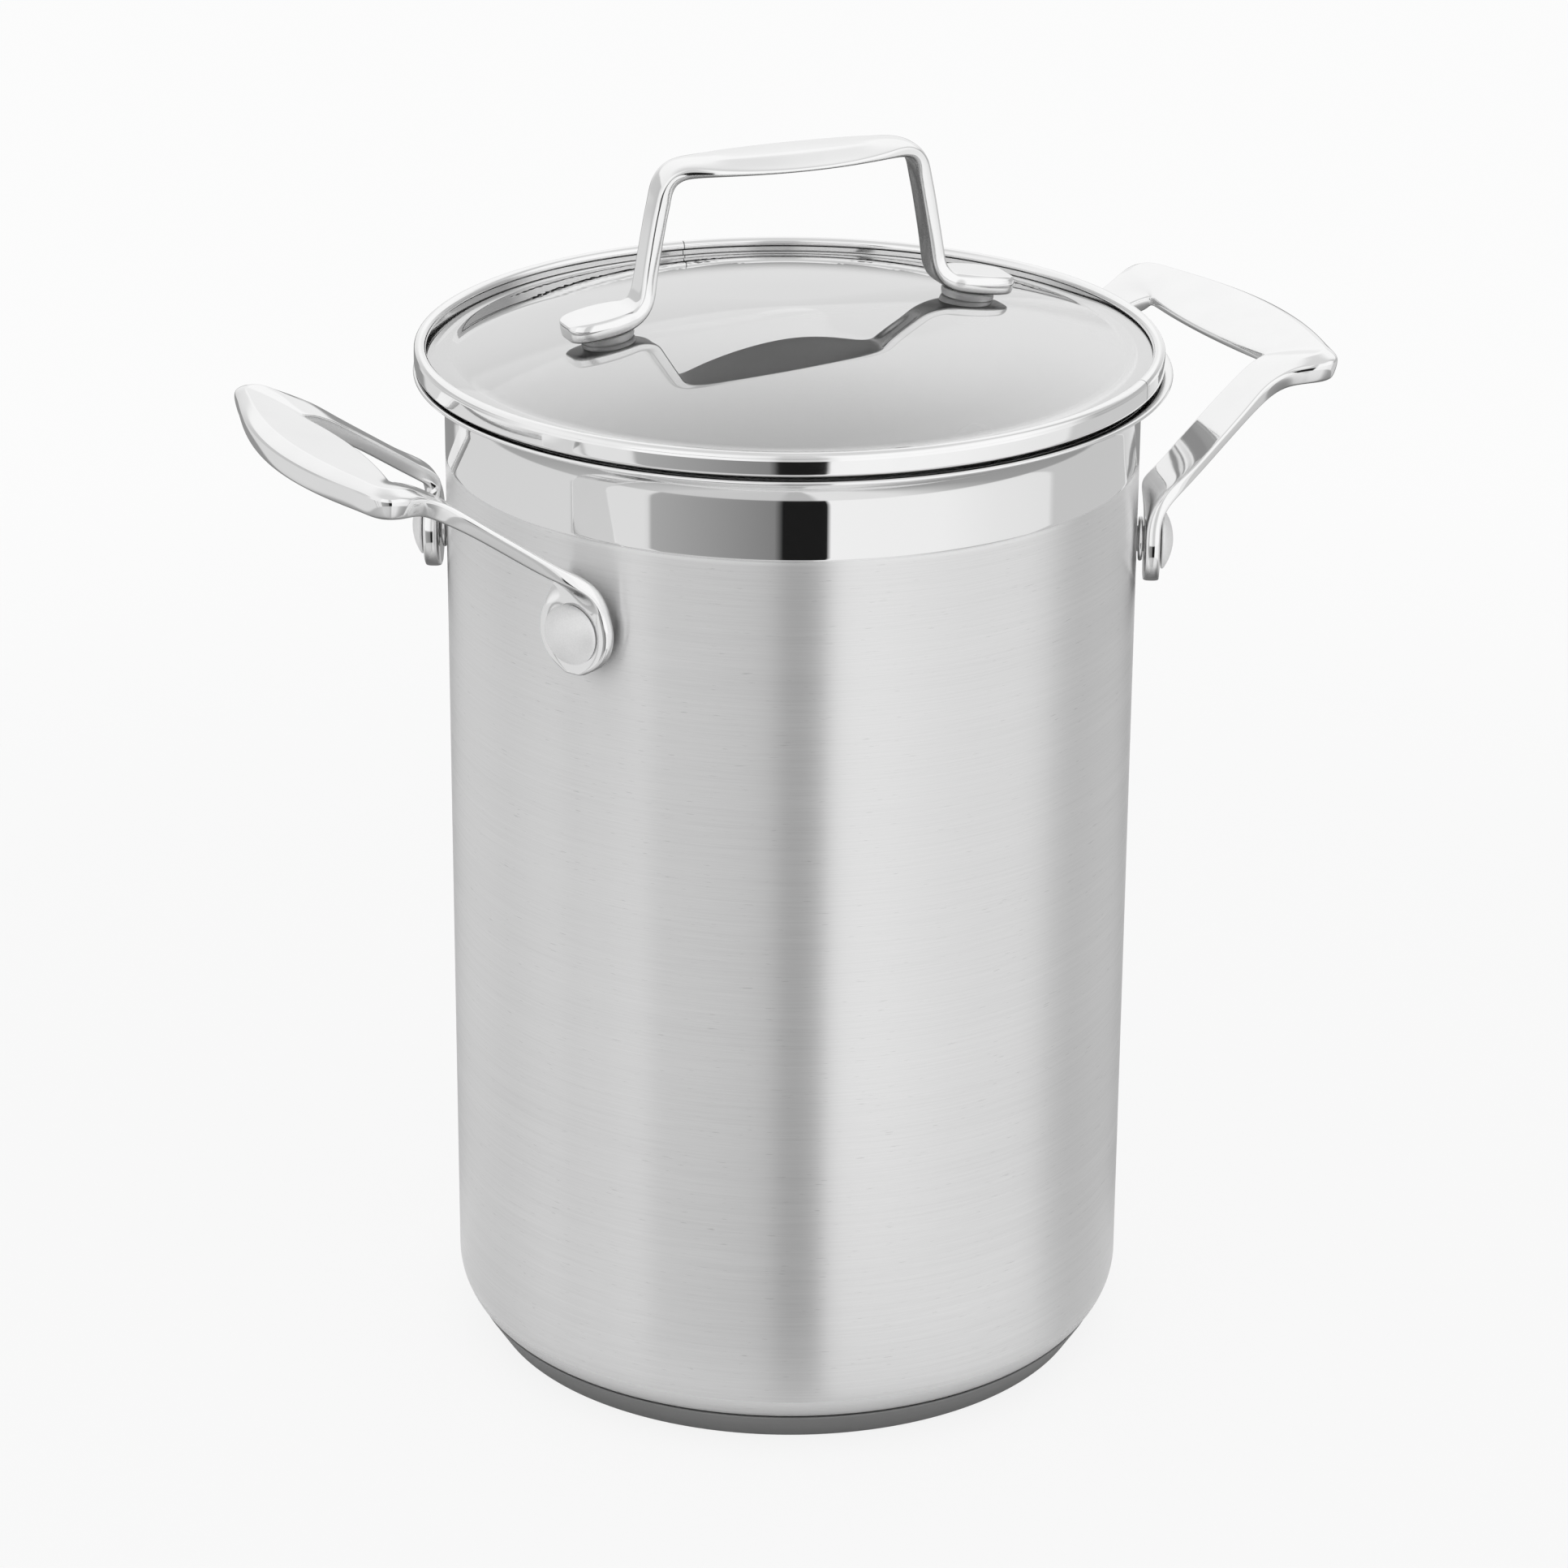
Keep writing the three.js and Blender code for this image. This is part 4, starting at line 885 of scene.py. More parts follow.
@dataclass
class SideHandle:
    """Bent strap handle with two round lugs, its rivets and spacers."""

    pot: Pot
    rivet_angle: float = math.radians(29)
    rivet_height: float = 201.0
    rivet_radius: float = 7.0
    rivet_rise: float = 2.8
    shank: float = 3.0
    inner_head: float = 6.0
    inner_thick: float = 1.5
    spacer_radius: float = 5.25
    spacer_thick: float = 1.0
    gap: float = 0.3
    lug_radius: float = 9.8
    lug_thick: float = 3.8
    strap: float = 3.6
    neck: float = 4.5
    strap_edge: float = 0.5
    edge_crease: float = 0.55
    draft: float = 0.24  # share by which the underside is narrower
    arm_half: float = 6.6
    root_rise: float = 11.0
    root_offset: float = 1.6
    knee: tuple[float, float, float] = (105.5, 34.7, 32.7)  # X, Y and rise over the rivet
    inner_corner: Point = (111.8, 26.3)  # where the arm meets the paddle's inner edge
    inner_bulge: float = 2.4
    inner_top: float = 36.4  # rises over the rivet
    inner_under: float = 33.5
    ridge: float = 40.7
    under: float = 32.7
    ridge_drop: float = 0.4  # from the paddle's middle to its ends
    under_lift: float = 0.3
    paddle_end: float = 42.0
    facet_crown: float = 0.25
    reach: float = 130.6
    outer_rise: float = 37.4
    bow: float = 102.0
    blend: float = 5.0  # half length of the smooth turn from arm to paddle
    ridge_crease: float = 0.55
    paddle_shares: tuple[float, ...] = (0.04, 0.36, 0.62, 0.82, 0.955)
    flank_drop: float = 0.14  # of the paddle's thickness, at its outer edge
    flank_lift: float = 0.05
    paddle_draft: float = 0.45  # of the arm's draft
    bent_limit: float = 1.1
    lug_drops: tuple[float, ...] = (9.75, 9.3, 7.9, 5.6, 2.4, -1.5, -4.6)  # rings below the rivet
    lug_tip: float = 2.6  # least half width of a ring
    lug_edge: float = 0.9
    root_rows: Rows = (  # share of the turn into the arm, rise over the rivet, reach and half width
        (0.12, 7.8, 0.1, 8.0), (0.45, 10.9, 0.9, 7.2), (0.8, 13.1, 3.3, 6.8))
    arm_shares: tuple[float, ...] = (0.22, 0.48, 0.74)
    plain_necks: int = 3  # rings of the neck before the ridge starts
    paddle_rows: Rows = ((17.0, 28.5), (11.0, 18.5), (5.0, 8.5), (0.0, 0.0))  # Y of inner and outer edge
    inner_edge: float = 0.5
    head_edge: Point = (0.3, 0.35)
    head_foot: float = 0.6  # where the dome of the head starts
    head_inset: float = 0.08

    @property
    def lug_middle(self) -> float:
        """Radius of the middle of the lug's sheet."""
        return self.pot.radius + self.gap + self.spacer_thick + self.gap + self.lug_thick / 2

    @property
    def root(self) -> Vector:
        """Where the arm's middle line leaves the lug."""
        middle = self.lug_middle
        return Vector((middle * math.cos(self.rivet_angle),
                       middle * math.sin(self.rivet_angle) + self.root_offset,
                       self.rivet_height + self.root_rise))

    @property
    def knee_point(self) -> Vector:
        """Where the arm's middle line meets the paddle."""
        x, y, rise = self.knee
        return Vector((x, y, self.rivet_height + rise))

    def sheet(self, x: float, y: float, offset: float) -> Vector:
        """Place on the strap's middle surface, which climbs along X only, plus an offset off it."""
        root, knee = self.root, self.knee_point
        steep = (knee.z - root.z) / (knee.x - root.x)
        flat = (self.rivet_height + self.outer_rise - knee.z) / (self.reach - knee.x)
        along = max(-1.0, min(1.0, (x - knee.x) / self.blend))
        slope = (steep + flat) / 2 - (steep - flat) / 2 * along
        if abs(along) < 1.0:
            sag = (steep - flat) * self.blend / 4
            bend = (steep + flat) / 2 * self.blend * along - sag * along ** 2 - sag
            height = knee.z + bend
        else:
            height = knee.z + slope * (x - knee.x)
        normal = Vector((-slope, 0.0, 1.0)).normalized()
        return Vector((x, y, height)) + normal * offset

    def arm_ring(self, inner: Point, outer: Point, thick: float) -> list[Vector]:
        """Ring across the arm between two points seen from above, with a thickness."""
        start, end = Vector(inner), Vector(outer)

        def at(share: float, offset: float) -> Vector:
            """Place on the sheet at a share of the width."""
            spot = start.lerp(end, share)
            return self.sheet(spot.x, spot.y, offset)

        return StrapSection.flat((end - start).length, thick, self.strap_edge, taper=self.draft).ring(at)

    def paddle_ring(self, inner: Point, outer: Point) -> list[Vector]:
        """Ring across the paddle: thin inner edge, sloping facet, ridge and full round flank."""
        start, end = Vector(inner), Vector(outer)
        bent = min(abs(outer[1]) / self.paddle_end, self.bent_limit) ** 2
        ridge, under = self.ridge - self.ridge_drop * bent, self.under + self.under_lift * bent
        thick = ridge - under
        shares = self.paddle_shares
        climb = [(share - shares[0]) / (shares[3] - shares[0]) for share in shares[:4]]
        facet = [self.inner_top + (ridge - self.inner_top) * part for part in climb]
        facet[1] += self.facet_crown
        facet[2] += self.facet_crown
        below = [self.inner_under + (under - self.inner_under) * part for part in climb]
        top = (*facet, ridge - self.flank_drop * thick)
        bottom = (*below, under + self.flank_lift * thick)
        section = StrapSection(shares, top, bottom, self.draft * self.paddle_draft)

        def at(share: float, rise: float) -> Vector:
            """Place at a share of the width and a rise over the rivet."""
            spot = start.lerp(end, share)
            return Vector((spot.x, spot.y, self.rivet_height + rise))

        return section.ring(at)

    def lug_rings(self) -> list[list[Vector]]:
        """Rings from the bottom of the lug up to where the arm has left it."""
        angle, middle = self.rivet_angle, self.lug_middle
        outward = Vector((math.cos(angle), math.sin(angle), 0.0))
        across = Vector((-math.sin(angle), math.cos(angle), 0.0))
        root, knee = self.root, self.knee_point
        arm = (knee - root).normalized()
        steep = (knee.z - root.z) / (knee.x - root.x)
        arm_normal = Vector((-steep, 0.0, 1.0)).normalized()
        arm_across = arm_normal.cross(arm).normalized()
        lug = outward * middle
        lug.z = self.rivet_height
        rows = []
        for drop in self.lug_drops:
            half = math.sqrt(max(self.lug_radius ** 2 - drop ** 2, self.lug_tip ** 2))
            rows.append((lug - Vector((0, 0, drop)), across, -outward, half, self.lug_thick))
        for turned, rise, out, half in self.root_rows:
            centre = lug + Vector((0, 0, rise)) + Vector((arm.x, arm.y, 0)) * out
            centre += across * (self.root_offset * turned)
            normal = (-outward).lerp(arm_normal, turned).normalized()
            side = across.lerp(arm_across, turned).normalized()
            thick = self.lug_thick + (self.strap - self.lug_thick) * turned
            rows.append((centre, side, normal, half, thick))
        rings = []
        for centre, side, normal, half, thick in rows:
            def at(share: float, offset: float) -> Vector:
                """Place across the lug at a share of its width."""
                return centre + side * (half * (2 * share - 1)) + normal * offset
            rings.append(StrapSection.flat(2 * half, thick, self.lug_edge).ring(at))
        return rings

    def outer_edge(self, y: float) -> Point:
        """Bowed outer edge of the paddle at a distance from the handle's axis."""
        return (self.reach - y * y / (2 * self.bow), y)

    def inner_line(self, y: float) -> Point:
        """Inner edge of the paddle, bowed a little towards the pot."""
        corner_x, corner_y = self.inner_corner
        return (corner_x - self.inner_bulge * (1 - (y / corner_y) ** 2), y)

    def neck_rings(self) -> list[list[Vector]]:
        """Rings that fan round the inner corner while the arm swells into the paddle's end."""
        x, y = self.inner_corner
        fan = (
            ((x - 5.6, y + 1.7), (103.5, 41.7), 0.0),
            ((x - 2.2, y + 0.8), (107.0, 41.6), 0.1),
            ((x - 0.6, y + 0.3), (110.4, 42.5), 0.35),
            ((x - 0.2, y), (113.8, 44.7), 0.65),
            ((x - 0.1, y - 0.3), (117.4, 46.2), 0.9),
            ((x - 0.1, y - 0.7), (120.9, 45.2), 1.0),
            ((x - 0.2, y - 1.5), (122.9, 41.9), 1.0),
            ((x - 0.5, y - 3.1), (123.9, 37.0), 1.0),
        )
        rings = []
        for inner, outer, swollen in fan:
            thin, full = self.arm_ring(inner, outer, self.neck), self.paddle_ring(inner, outer)
            rings.append([a.lerp(b, swollen) for a, b in zip(thin, full)])
        return rings

    def build_strap(self) -> Workpiece:
        """The whole strap, from lug to lug."""
        lug, neck = self.lug_rings(), self.neck_rings()
        root, knee = self.root, self.knee_point
        side = Vector((root.y - knee.y, knee.x - root.x)).normalized() * self.arm_half
        arm = []
        for share in self.arm_shares:
            centre = root.lerp(knee, share).to_2d()
            arm.append(self.arm_ring(centre - side, centre + side, self.strap))
        paddle = [self.paddle_ring(self.inner_line(inner), self.outer_edge(outer))
                  for inner, outer in self.paddle_rows]
        half = [*lug, *arm, *neck, *paddle]
        other = [[Vector((p.x, -p.y, p.z)) for p in ring] for ring in reversed(half[:-1])]
        strap = Workpiece()
        rings = strap.loft([*half, *other])
        first = len(lug) + len(arm) + self.plain_necks
        strap.crease_line(rings[first:len(rings) - first], 3, self.ridge_crease)
        for line in (0, 4):
            strap.crease_line(rings[len(lug):first + 1], line, self.edge_crease)
            strap.crease_line(rings[-first - 1:-len(lug)], line, self.edge_crease)
        return strap

    def build_rivet(self) -> Workpiece:
        """Flat head inside the pot, shank, and domed head outside the lug."""
        inside = math.sqrt(self.pot.inside ** 2 - self.inner_head ** 2) - self.gap
        outside = self.lug_middle + self.lug_thick / 2 + self.gap
        profile = Profile().to((0, inside - self.inner_thick))
        edge = self.inner_edge
        profile.arc((self.inner_head - edge, inside - self.inner_thick + edge), edge, -90, 0, 4)
        profile.to((self.inner_head, inside), (self.shank, inside), (self.shank, outside))
        wide, high = self.head_edge
        profile.arc((self.rivet_radius - wide, outside + high), self.head_edge, -90, 20, 5)
        profile.head(self.rivet_radius - self.head_inset, self.rivet_rise - self.head_foot,
                     outside + self.head_foot)
        return Workpiece().turn(profile, SMALL_STEPS)

    def build_spacer(self) -> Workpiece:
        """Thin ring between wall and lug."""
        inside = self.pot.radius + self.gap
        bore = self.shank + self.gap
        half = self.spacer_thick / 2
        profile = Profile().to((bore, inside), (self.spacer_radius - half, inside))
        profile.arc((self.spacer_radius - half, inside + half), half, -80, 80, 6)
        profile.to((self.spacer_radius - half, inside + 2 * half), (bore, inside + 2 * half))
        return Workpiece().turn(profile, SMALL_STEPS, ring=True)

    def build(self) -> None:
        """Makes both handles with their fixings."""
        for side in Side:
            strap = self.build_strap().move(turned_about_z(side.turn))
            strap.piece(f"strap_handle_{side.word}", POLISHED_FINISH, "pot", f"handle_{side.word}", smooth=3)
            for ends, place in fixings(side, self.rivet_angle, self.rivet_height):
                self.build_rivet().move(place).piece(
                    f"handle_rivet_{ends}", SATIN_FINISH, "pot", f"rivet_{ends}")
                self.build_spacer().move(place).piece(
                    f"handle_spacer_{ends}", POLISHED_FINISH, "pot", f"spacer_{ends}")


@dataclass
class Lid:
    """Glass dome in a rolled steel band, with its arched handle."""

    pot: Pot
    turn: float = math.radians(-3.3)  # as it was put down, against the side handles
    shift: float = 0.85  # and off the pot's axis
    shift_way: float = math.radians(153.4)
    sheet: float = 0.65
    gap: float = 0.3
    groove_gap: float = 0.1
    setback: float = 1.1
    crown: float = 2.15
    edge_round: float = 1.4
    seat_inset: float = 5.45
    seat_width: float = 4.5
    face_top: float = 4.75  # bead's lower edge above the pot's lip
    face_foot: float = 1.6  # and where the face turns under
    face_groove: float = 0.12
    seal_width: float = 3.0
    glass: float = 2.9
    glass_rise: float = 9.75
    dome_inset: float = 8.5
    fullness: float = 2.5
    dome_steps: int = 40
    screw_reach: float = 45.3
    screw_shank: float = 2.0
    screw_bite: float = 3.6
    screw_head: float = 4.5
    screw_head_thick: float = 2.2
    washer_radius: float = 6.2
    washer_thick: float = 1.5
    under_radius: float = 5.8
    under_thick: float = 1.4
    foot_tip: float = 55.9
    foot_thick: float = 4.6
    foot_edge: float = 1.0
    leg_foot: float = 35.9  # middle of the leg's sheet, low down
    leg_top: float = 32.3  # and under the grip
    leg_half: float = 3.7
    leg_thick: float = 3.8
    leg_edge: float = 0.9
    leg_hollow: float = 1.5
    grip_clearance: float = 34.2
    grip_thick: float = 4.2
    grip_half: float = 10.5
    grip_flank: float = 2.0  # fall from the grip's flat top to its edges
    corner_flank: float = 0.6
    edge_crease: float = 0.6
    skin: float = 0.05  # between a washer and what it lies on
    foot_lean: float = 10.0  # degrees that the outer face leans from upright
    foot_rows: Rows = (  # reach, half width and thickness
        (55.75, 2.9, 3.2), (55.3, 4.4, 4.1), (53.6, 6.1, 4.6), (49.2, 7.1, 4.6),
        (45.3, 7.0, 4.6), (42.2, 6.3, 4.5), (39.9, 5.3, 4.3))
    heel_rows: Rows = (  # reach past the leg, rise, lean, half width, thickness and hollow
        (1.9, 0.9, 36.0, 4.7, 4.2, 0.0), (0.5, 3.4, 66.0, 4.1, 4.0, 0.4), (0.0, 7.5, 84.0, 3.8, 3.8, 1.4))
    leg_shares: tuple[float, ...] = (0.38, 0.7)
    leg_lean: float = 84.0
    leg_start: float = 10.0  # above the foot's underside
    leg_short: float = 13.0
    corner_rows: Rows = (  # reach past the leg, drop, lean, half width and weight of the grip's section
        (0.2, 7.4, 81.0, 3.8, 0.15), (-0.4, 4.0, 66.0, 4.0, 0.4),
        (-2.2, 1.4, 38.0, 4.4, 0.75), (-5.4, 0.15, 9.0, 5.4, 1.0))
    grip_rows: Rows = ((21.5, 0.55), (13.0, 0.9), (6.0, 1.0), (0.0, 1.0))  # reach and weight

    @property
    def band_radius(self) -> float:
        """Outside of the band."""
        return self.pot.lip_radius - self.setback

    @property
    def channel_radius(self) -> float:
        """Middle of the bead, and the inside of the band around the glass."""
        return self.band_radius - self.edge_round

    @property
    def seat_radius(self) -> float:
        """Edge that rests in the pot's flare."""
        return self.pot.lip_radius - self.seat_inset

    @property
    def seat_height(self) -> float:
        """Underside of the band in the pot's mouth."""
        reach = self.pot.flare + self.pot.wall
        inset = self.pot.flare_centre - self.seat_radius - self.shift
        return self.pot.flare_foot + math.sqrt(reach ** 2 - inset ** 2) + self.gap

    @property
    def band_under(self) -> float:
        """Underside of the band over the pot's lip."""
        return self.pot.height + self.gap

    @property
    def glass_under(self) -> float:
        """Underside of the glass at its edge."""
        return self.band_under + self.sheet + self.groove_gap

    @property
    def glass_top(self) -> float:
        """Top of the glass at its edge."""
        return self.glass_under + self.glass

    @property
    def dome_radius(self) -> float:
        """Where the dome meets the flat edge of the glass."""
        return self.band_radius - self.dome_inset

    def dome(self, radius: float) -> float:
        """Height of the dome's top at a distance from the lid's axis."""
        share = min(radius / self.dome_radius, 1.0)
        return self.glass_top + self.glass_rise * (1 - share ** self.fullness)

    @property
    def foot_under(self) -> float:
        """Underside of the handle's foot at its screw."""
        return self.dome(self.screw_reach) + self.washer_thick + self.gap

    def foot_line(self, reach: float) -> float:
        """Underside of the handle's foot, which lies along the dome."""
        drop = self.dome(self.screw_reach) - self.dome(self.foot_tip)
        slope = drop / (self.foot_tip - self.screw_reach)
        return self.foot_under + slope * (self.screw_reach - reach)

    def build(self) -> None:
        """Makes every piece of the lid, then lays the lid on the pot as it was put down."""
        moved = Vector((math.cos(self.shift_way), math.sin(self.shift_way), 0)) * self.shift
        laid = Matrix.Translation(moved) @ turned_about_z(self.turn)
        self.build_glass().move(laid).piece("glass_dome", GLASS_FINISH, "lid", "lid_glass")
        self.build_band().move(laid).piece("rolled_band", BAND_FINISH, "lid", "lid_band")
        self.build_seal().move(laid).piece("band_seal", SILICONE_FINISH, "lid", "rim_seal")
        self.build_handle().move(laid).piece("arched_grip", GRIP_FINISH, "lid", "lid_handle", smooth=3)
        for side in Side:
            way = 1.0 if side is Side.RIGHT else -1.0
            self.build_foot_washer(way).move(laid).piece(
                f"grip_washer_{side.word}", SILICONE_FINISH, "lid", f"foot_washer_{side.word}")
            self.build_under_washer(way).move(laid).piece(
                f"inside_washer_{side.word}", SILICONE_FINISH, "lid", f"under_washer_{side.word}")
            self.build_screw(way).move(laid).piece(
                f"grip_screw_{side.word}", SATIN_FINISH, "lid", f"lid_screw_{side.word}")

    def build_glass(self) -> Workpiece:
        """Dome with a flat edge, rounded where it sits in the band."""
        edge = self.channel_radius - self.gap
        half = self.glass / 2
        bend = self.dome_radius + 0.4
        radii = [self.dome_radius * (step / self.dome_steps) ** 0.8 for step in range(self.dome_steps + 1)]
        profile = Profile().to(*[(radius, self.dome(radius) - self.glass) for radius in radii])
        profile.to((bend, self.glass_under))
        profile.arc((edge - 0.6, self.glass_under + half), (0.6, half), -90, 90, 8)
        profile.to((bend, self.glass_top))
        profile.to(*[(radius, self.dome(radius)) for radius in reversed(radii)])
        return Workpiece().turn(profile)

    def build_band(self) -> Workpiece:
        """Rolled bead, fine groove, upright face, turned-under edge, seat and channel."""
        outside, channel, seat = self.band_radius, self.channel_radius, self.seat_radius
        sheet, edge = self.sheet, self.edge_round
        lip_under = self.glass_top + self.gap
        bead = self.glass_top + self.crown - edge
        top, foot = self.pot.height + self.face_top, self.pot.height + self.face_foot
        groove = outside - self.face_groove
        profile = Profile()
        profile.to((channel, lip_under), (channel - edge + 0.3, lip_under))
        profile.arc((channel - edge + 0.3, lip_under + 0.3), 0.3, 270, 180, 4)
        profile.arc((channel, bead), edge, 180, 12, 22)
        profile.to((groove, top + 0.22), (groove, top + 0.05), (outside - 0.03, top - 0.1),
                   (outside, top - 0.5), (outside, foot + 0.5))
        profile.arc((channel, foot), (edge, foot - self.band_under), 0, -90, 12)
        inner, inner_top = seat - self.seat_width, self.seat_height + sheet
        profile.to((channel - 0.5, self.band_under), (seat + sheet, self.band_under),
                   (seat, self.seat_height), (inner, self.seat_height), (inner, inner_top),
                   (seat - sheet, inner_top), (seat, self.band_under + sheet),
                   (channel, self.band_under + sheet))
        return Workpiece().turn(profile, ring=True)

    def build_seal(self) -> Workpiece:
        """Flat ring under the edge of the glass."""
        outside = self.seat_radius - self.sheet - self.gap
        low = self.seat_height + self.sheet + self.groove_gap
        half = (self.glass_under - self.groove_gap - low) / 2
        profile = Profile()
        profile.arc((outside - half, low + half), half, -90, 90, 6)
        profile.arc((outside - self.seal_width + half, low + half), half, 90, 270, 6)
        return Workpiece().turn(profile, ring=True)

    def grip_width(self, reach: float) -> float:
        """Half width of the grip at a distance from the lid's axis."""
        share = 0.5 - 0.5 * reach / self.leg_top
        return self.leg_half + (self.grip_half - self.leg_half) * 4 * share * (1 - share)

    def foot_section(self, half: float, thick: float) -> StrapSection:
        """Flat-topped foot with upright sides."""
        return StrapSection.flat(2 * half, thick, min(self.foot_edge, half * 0.3))

    def leg_section(self, half: float, thick: float, hollow: float) -> StrapSection:
        """Narrow leg with a channel on its inner side."""
        return StrapSection.flat(2 * half, thick, self.leg_edge, hollow)

    def grip_section(self, fall: float) -> StrapSection:
        """Grip with a flat facet along its top, falling away to thin edges."""
        half = self.grip_thick / 2
        edge = half - fall
        low = 0.8 - half
        return StrapSection((0.05, 0.27, 0.5, 0.73, 0.95), (edge, half, half + 0.05, half, edge),
                            (low, -half, -half, -half, low))

    def arch_rows(self) -> list[tuple[Point, float, float, StrapSection]]:
        """Middle line of the arch from foot to grip.

        Returns:
            Rows of place in X and Z, lean of the outer face from upright in degrees, half width
            and section.
        """
        half = self.foot_thick / 2
        rows = []
        for reach, wide, thick in self.foot_rows:
            section = self.foot_section(wide, thick)
            rows.append(((reach, self.foot_line(reach) + half), self.foot_lean, wide, section))
        low = self.foot_line(self.leg_foot)
        under = self.foot_under + self.grip_clearance
        middle = under + self.grip_thick / 2
        for out, up, tilt, wide, thick, hollow in self.heel_rows:
            section = self.leg_section(wide, thick, hollow)
            rows.append(((self.leg_foot + out, low + half + up), tilt, wide, section))
        leg = self.leg_section(self.leg_half, self.leg_thick, self.leg_hollow)
        for share in self.leg_shares:
            reach = self.leg_foot + (self.leg_top - self.leg_foot) * share
            height = low + self.leg_start + (under - low - self.leg_short) * share
            rows.append(((reach, height), self.leg_lean, self.leg_half, leg))
        grip = self.grip_section(self.grip_flank)
        corner = self.grip_section(self.corner_flank)
        for out, drop, tilt, wide, weight in self.corner_rows:
            rows.append(((self.leg_top + out, middle - drop), tilt, wide, leg.mixed(corner, weight)))
        for reach, weight in self.grip_rows:
            rows.append(((reach, middle), 0.0, self.grip_width(reach), corner.mixed(grip, weight)))
        return rows

    def build_handle(self) -> Workpiece:
        """Arch and feet in one piece."""
        rings = []
        for (reach, height), lean, half, section in self.arch_rows():
            normal = Vector((math.sin(math.radians(lean)), 0.0, math.cos(math.radians(lean))))

            def at(share: float, offset: float) -> Vector:
                """Place across the arch at a share of its width."""
                return Vector((reach, half * (2 * share - 1), height)) + normal * offset
            rings.append(section.ring(at))
        other = [[Vector((-p.x, p.y, p.z)) for p in ring] for ring in reversed(rings[:-1])]
        arch = Workpiece()
        made = arch.loft([*rings, *other])
        feet, grip = len(self.foot_rows), len(rings) - len(self.grip_rows)
        for line in (0, 4):
            arch.crease_line(made[:feet], line, self.edge_crease)
            arch.crease_line(made[-feet:], line, self.edge_crease)
        for line in (1, 3):
            arch.crease_line(made[grip:-grip], line, self.edge_crease)
        return arch

    def build_washer(self, radius: float, way: float, low: Callable[[Vector], float],
                     high: Callable[[Vector], float]) -> Workpiece:
        """A ring around a screw between two sloping surfaces.

        Args:
            radius: outside of the ring.
            way: side of the lid along X.
            low: height of the surface under it.
            high: height of the surface over it.

        Returns:
            The ring, with its heights fitted.
        """
        bore = self.screw_shank + self.gap
        profile = Profile().to((bore, 0.0), (radius - 0.3, 0.0))
        profile.arc((radius - 0.3, 0.5), (0.3, 0.5), -90, 90, 6)
        profile.to((bore, 1.0))
        ring = Workpiece().turn(profile, SMALL_STEPS, ring=True)
        ring.move(Matrix.Translation((way * self.screw_reach, 0, 0)))

        def fitted(spot: Vector) -> Vector:
            """Stretches unit heights between the two surfaces."""
            return Vector((spot.x, spot.y, low(spot) + (high(spot) - low(spot)) * spot.z))

        return ring.shape(fitted)

    def build_foot_washer(self, way: float) -> Workpiece:
        """Clear washer between glass and foot."""
        return self.build_washer(
            self.washer_radius, way,
            lambda spot: self.dome(spot.to_2d().length) + self.skin,
            lambda spot: self.foot_line(abs(spot.x)) - self.skin)

    @property
    def screw_head_top(self) -> float:
        """Face of the screw's head that holds the inside washer."""
        return self.dome(self.screw_reach + self.under_radius) - self.glass - self.under_thick

    def build_under_washer(self, way: float) -> Workpiece:
        """Washer between glass and screw head."""
        return self.build_washer(
            self.under_radius, way,
            lambda spot: self.screw_head_top + self.skin,
            lambda spot: self.dome(spot.to_2d().length) - self.glass - self.skin)

    def build_screw(self, way: float) -> Workpiece:
        """Screw up into the foot, with a round head that has a cross slot's hollow."""
        top = self.screw_head_top
        bottom = top - self.screw_head_thick
        profile = Profile().to((0, bottom + 0.9), (0.9, bottom + 0.7), (1.3, bottom))
        profile.arc((self.screw_head - 1.0, bottom + 1.0), 1.0, -90, 0, 6)
        profile.to((self.screw_head, top), (self.screw_shank, top),
                   (self.screw_shank, self.foot_under + self.screw_bite),
                   (0, self.foot_under + self.screw_bite))
        screw = Workpiece().turn(profile, SMALL_STEPS)
        return screw.move(Matrix.Translation((way * self.screw_reach, 0, 0)))


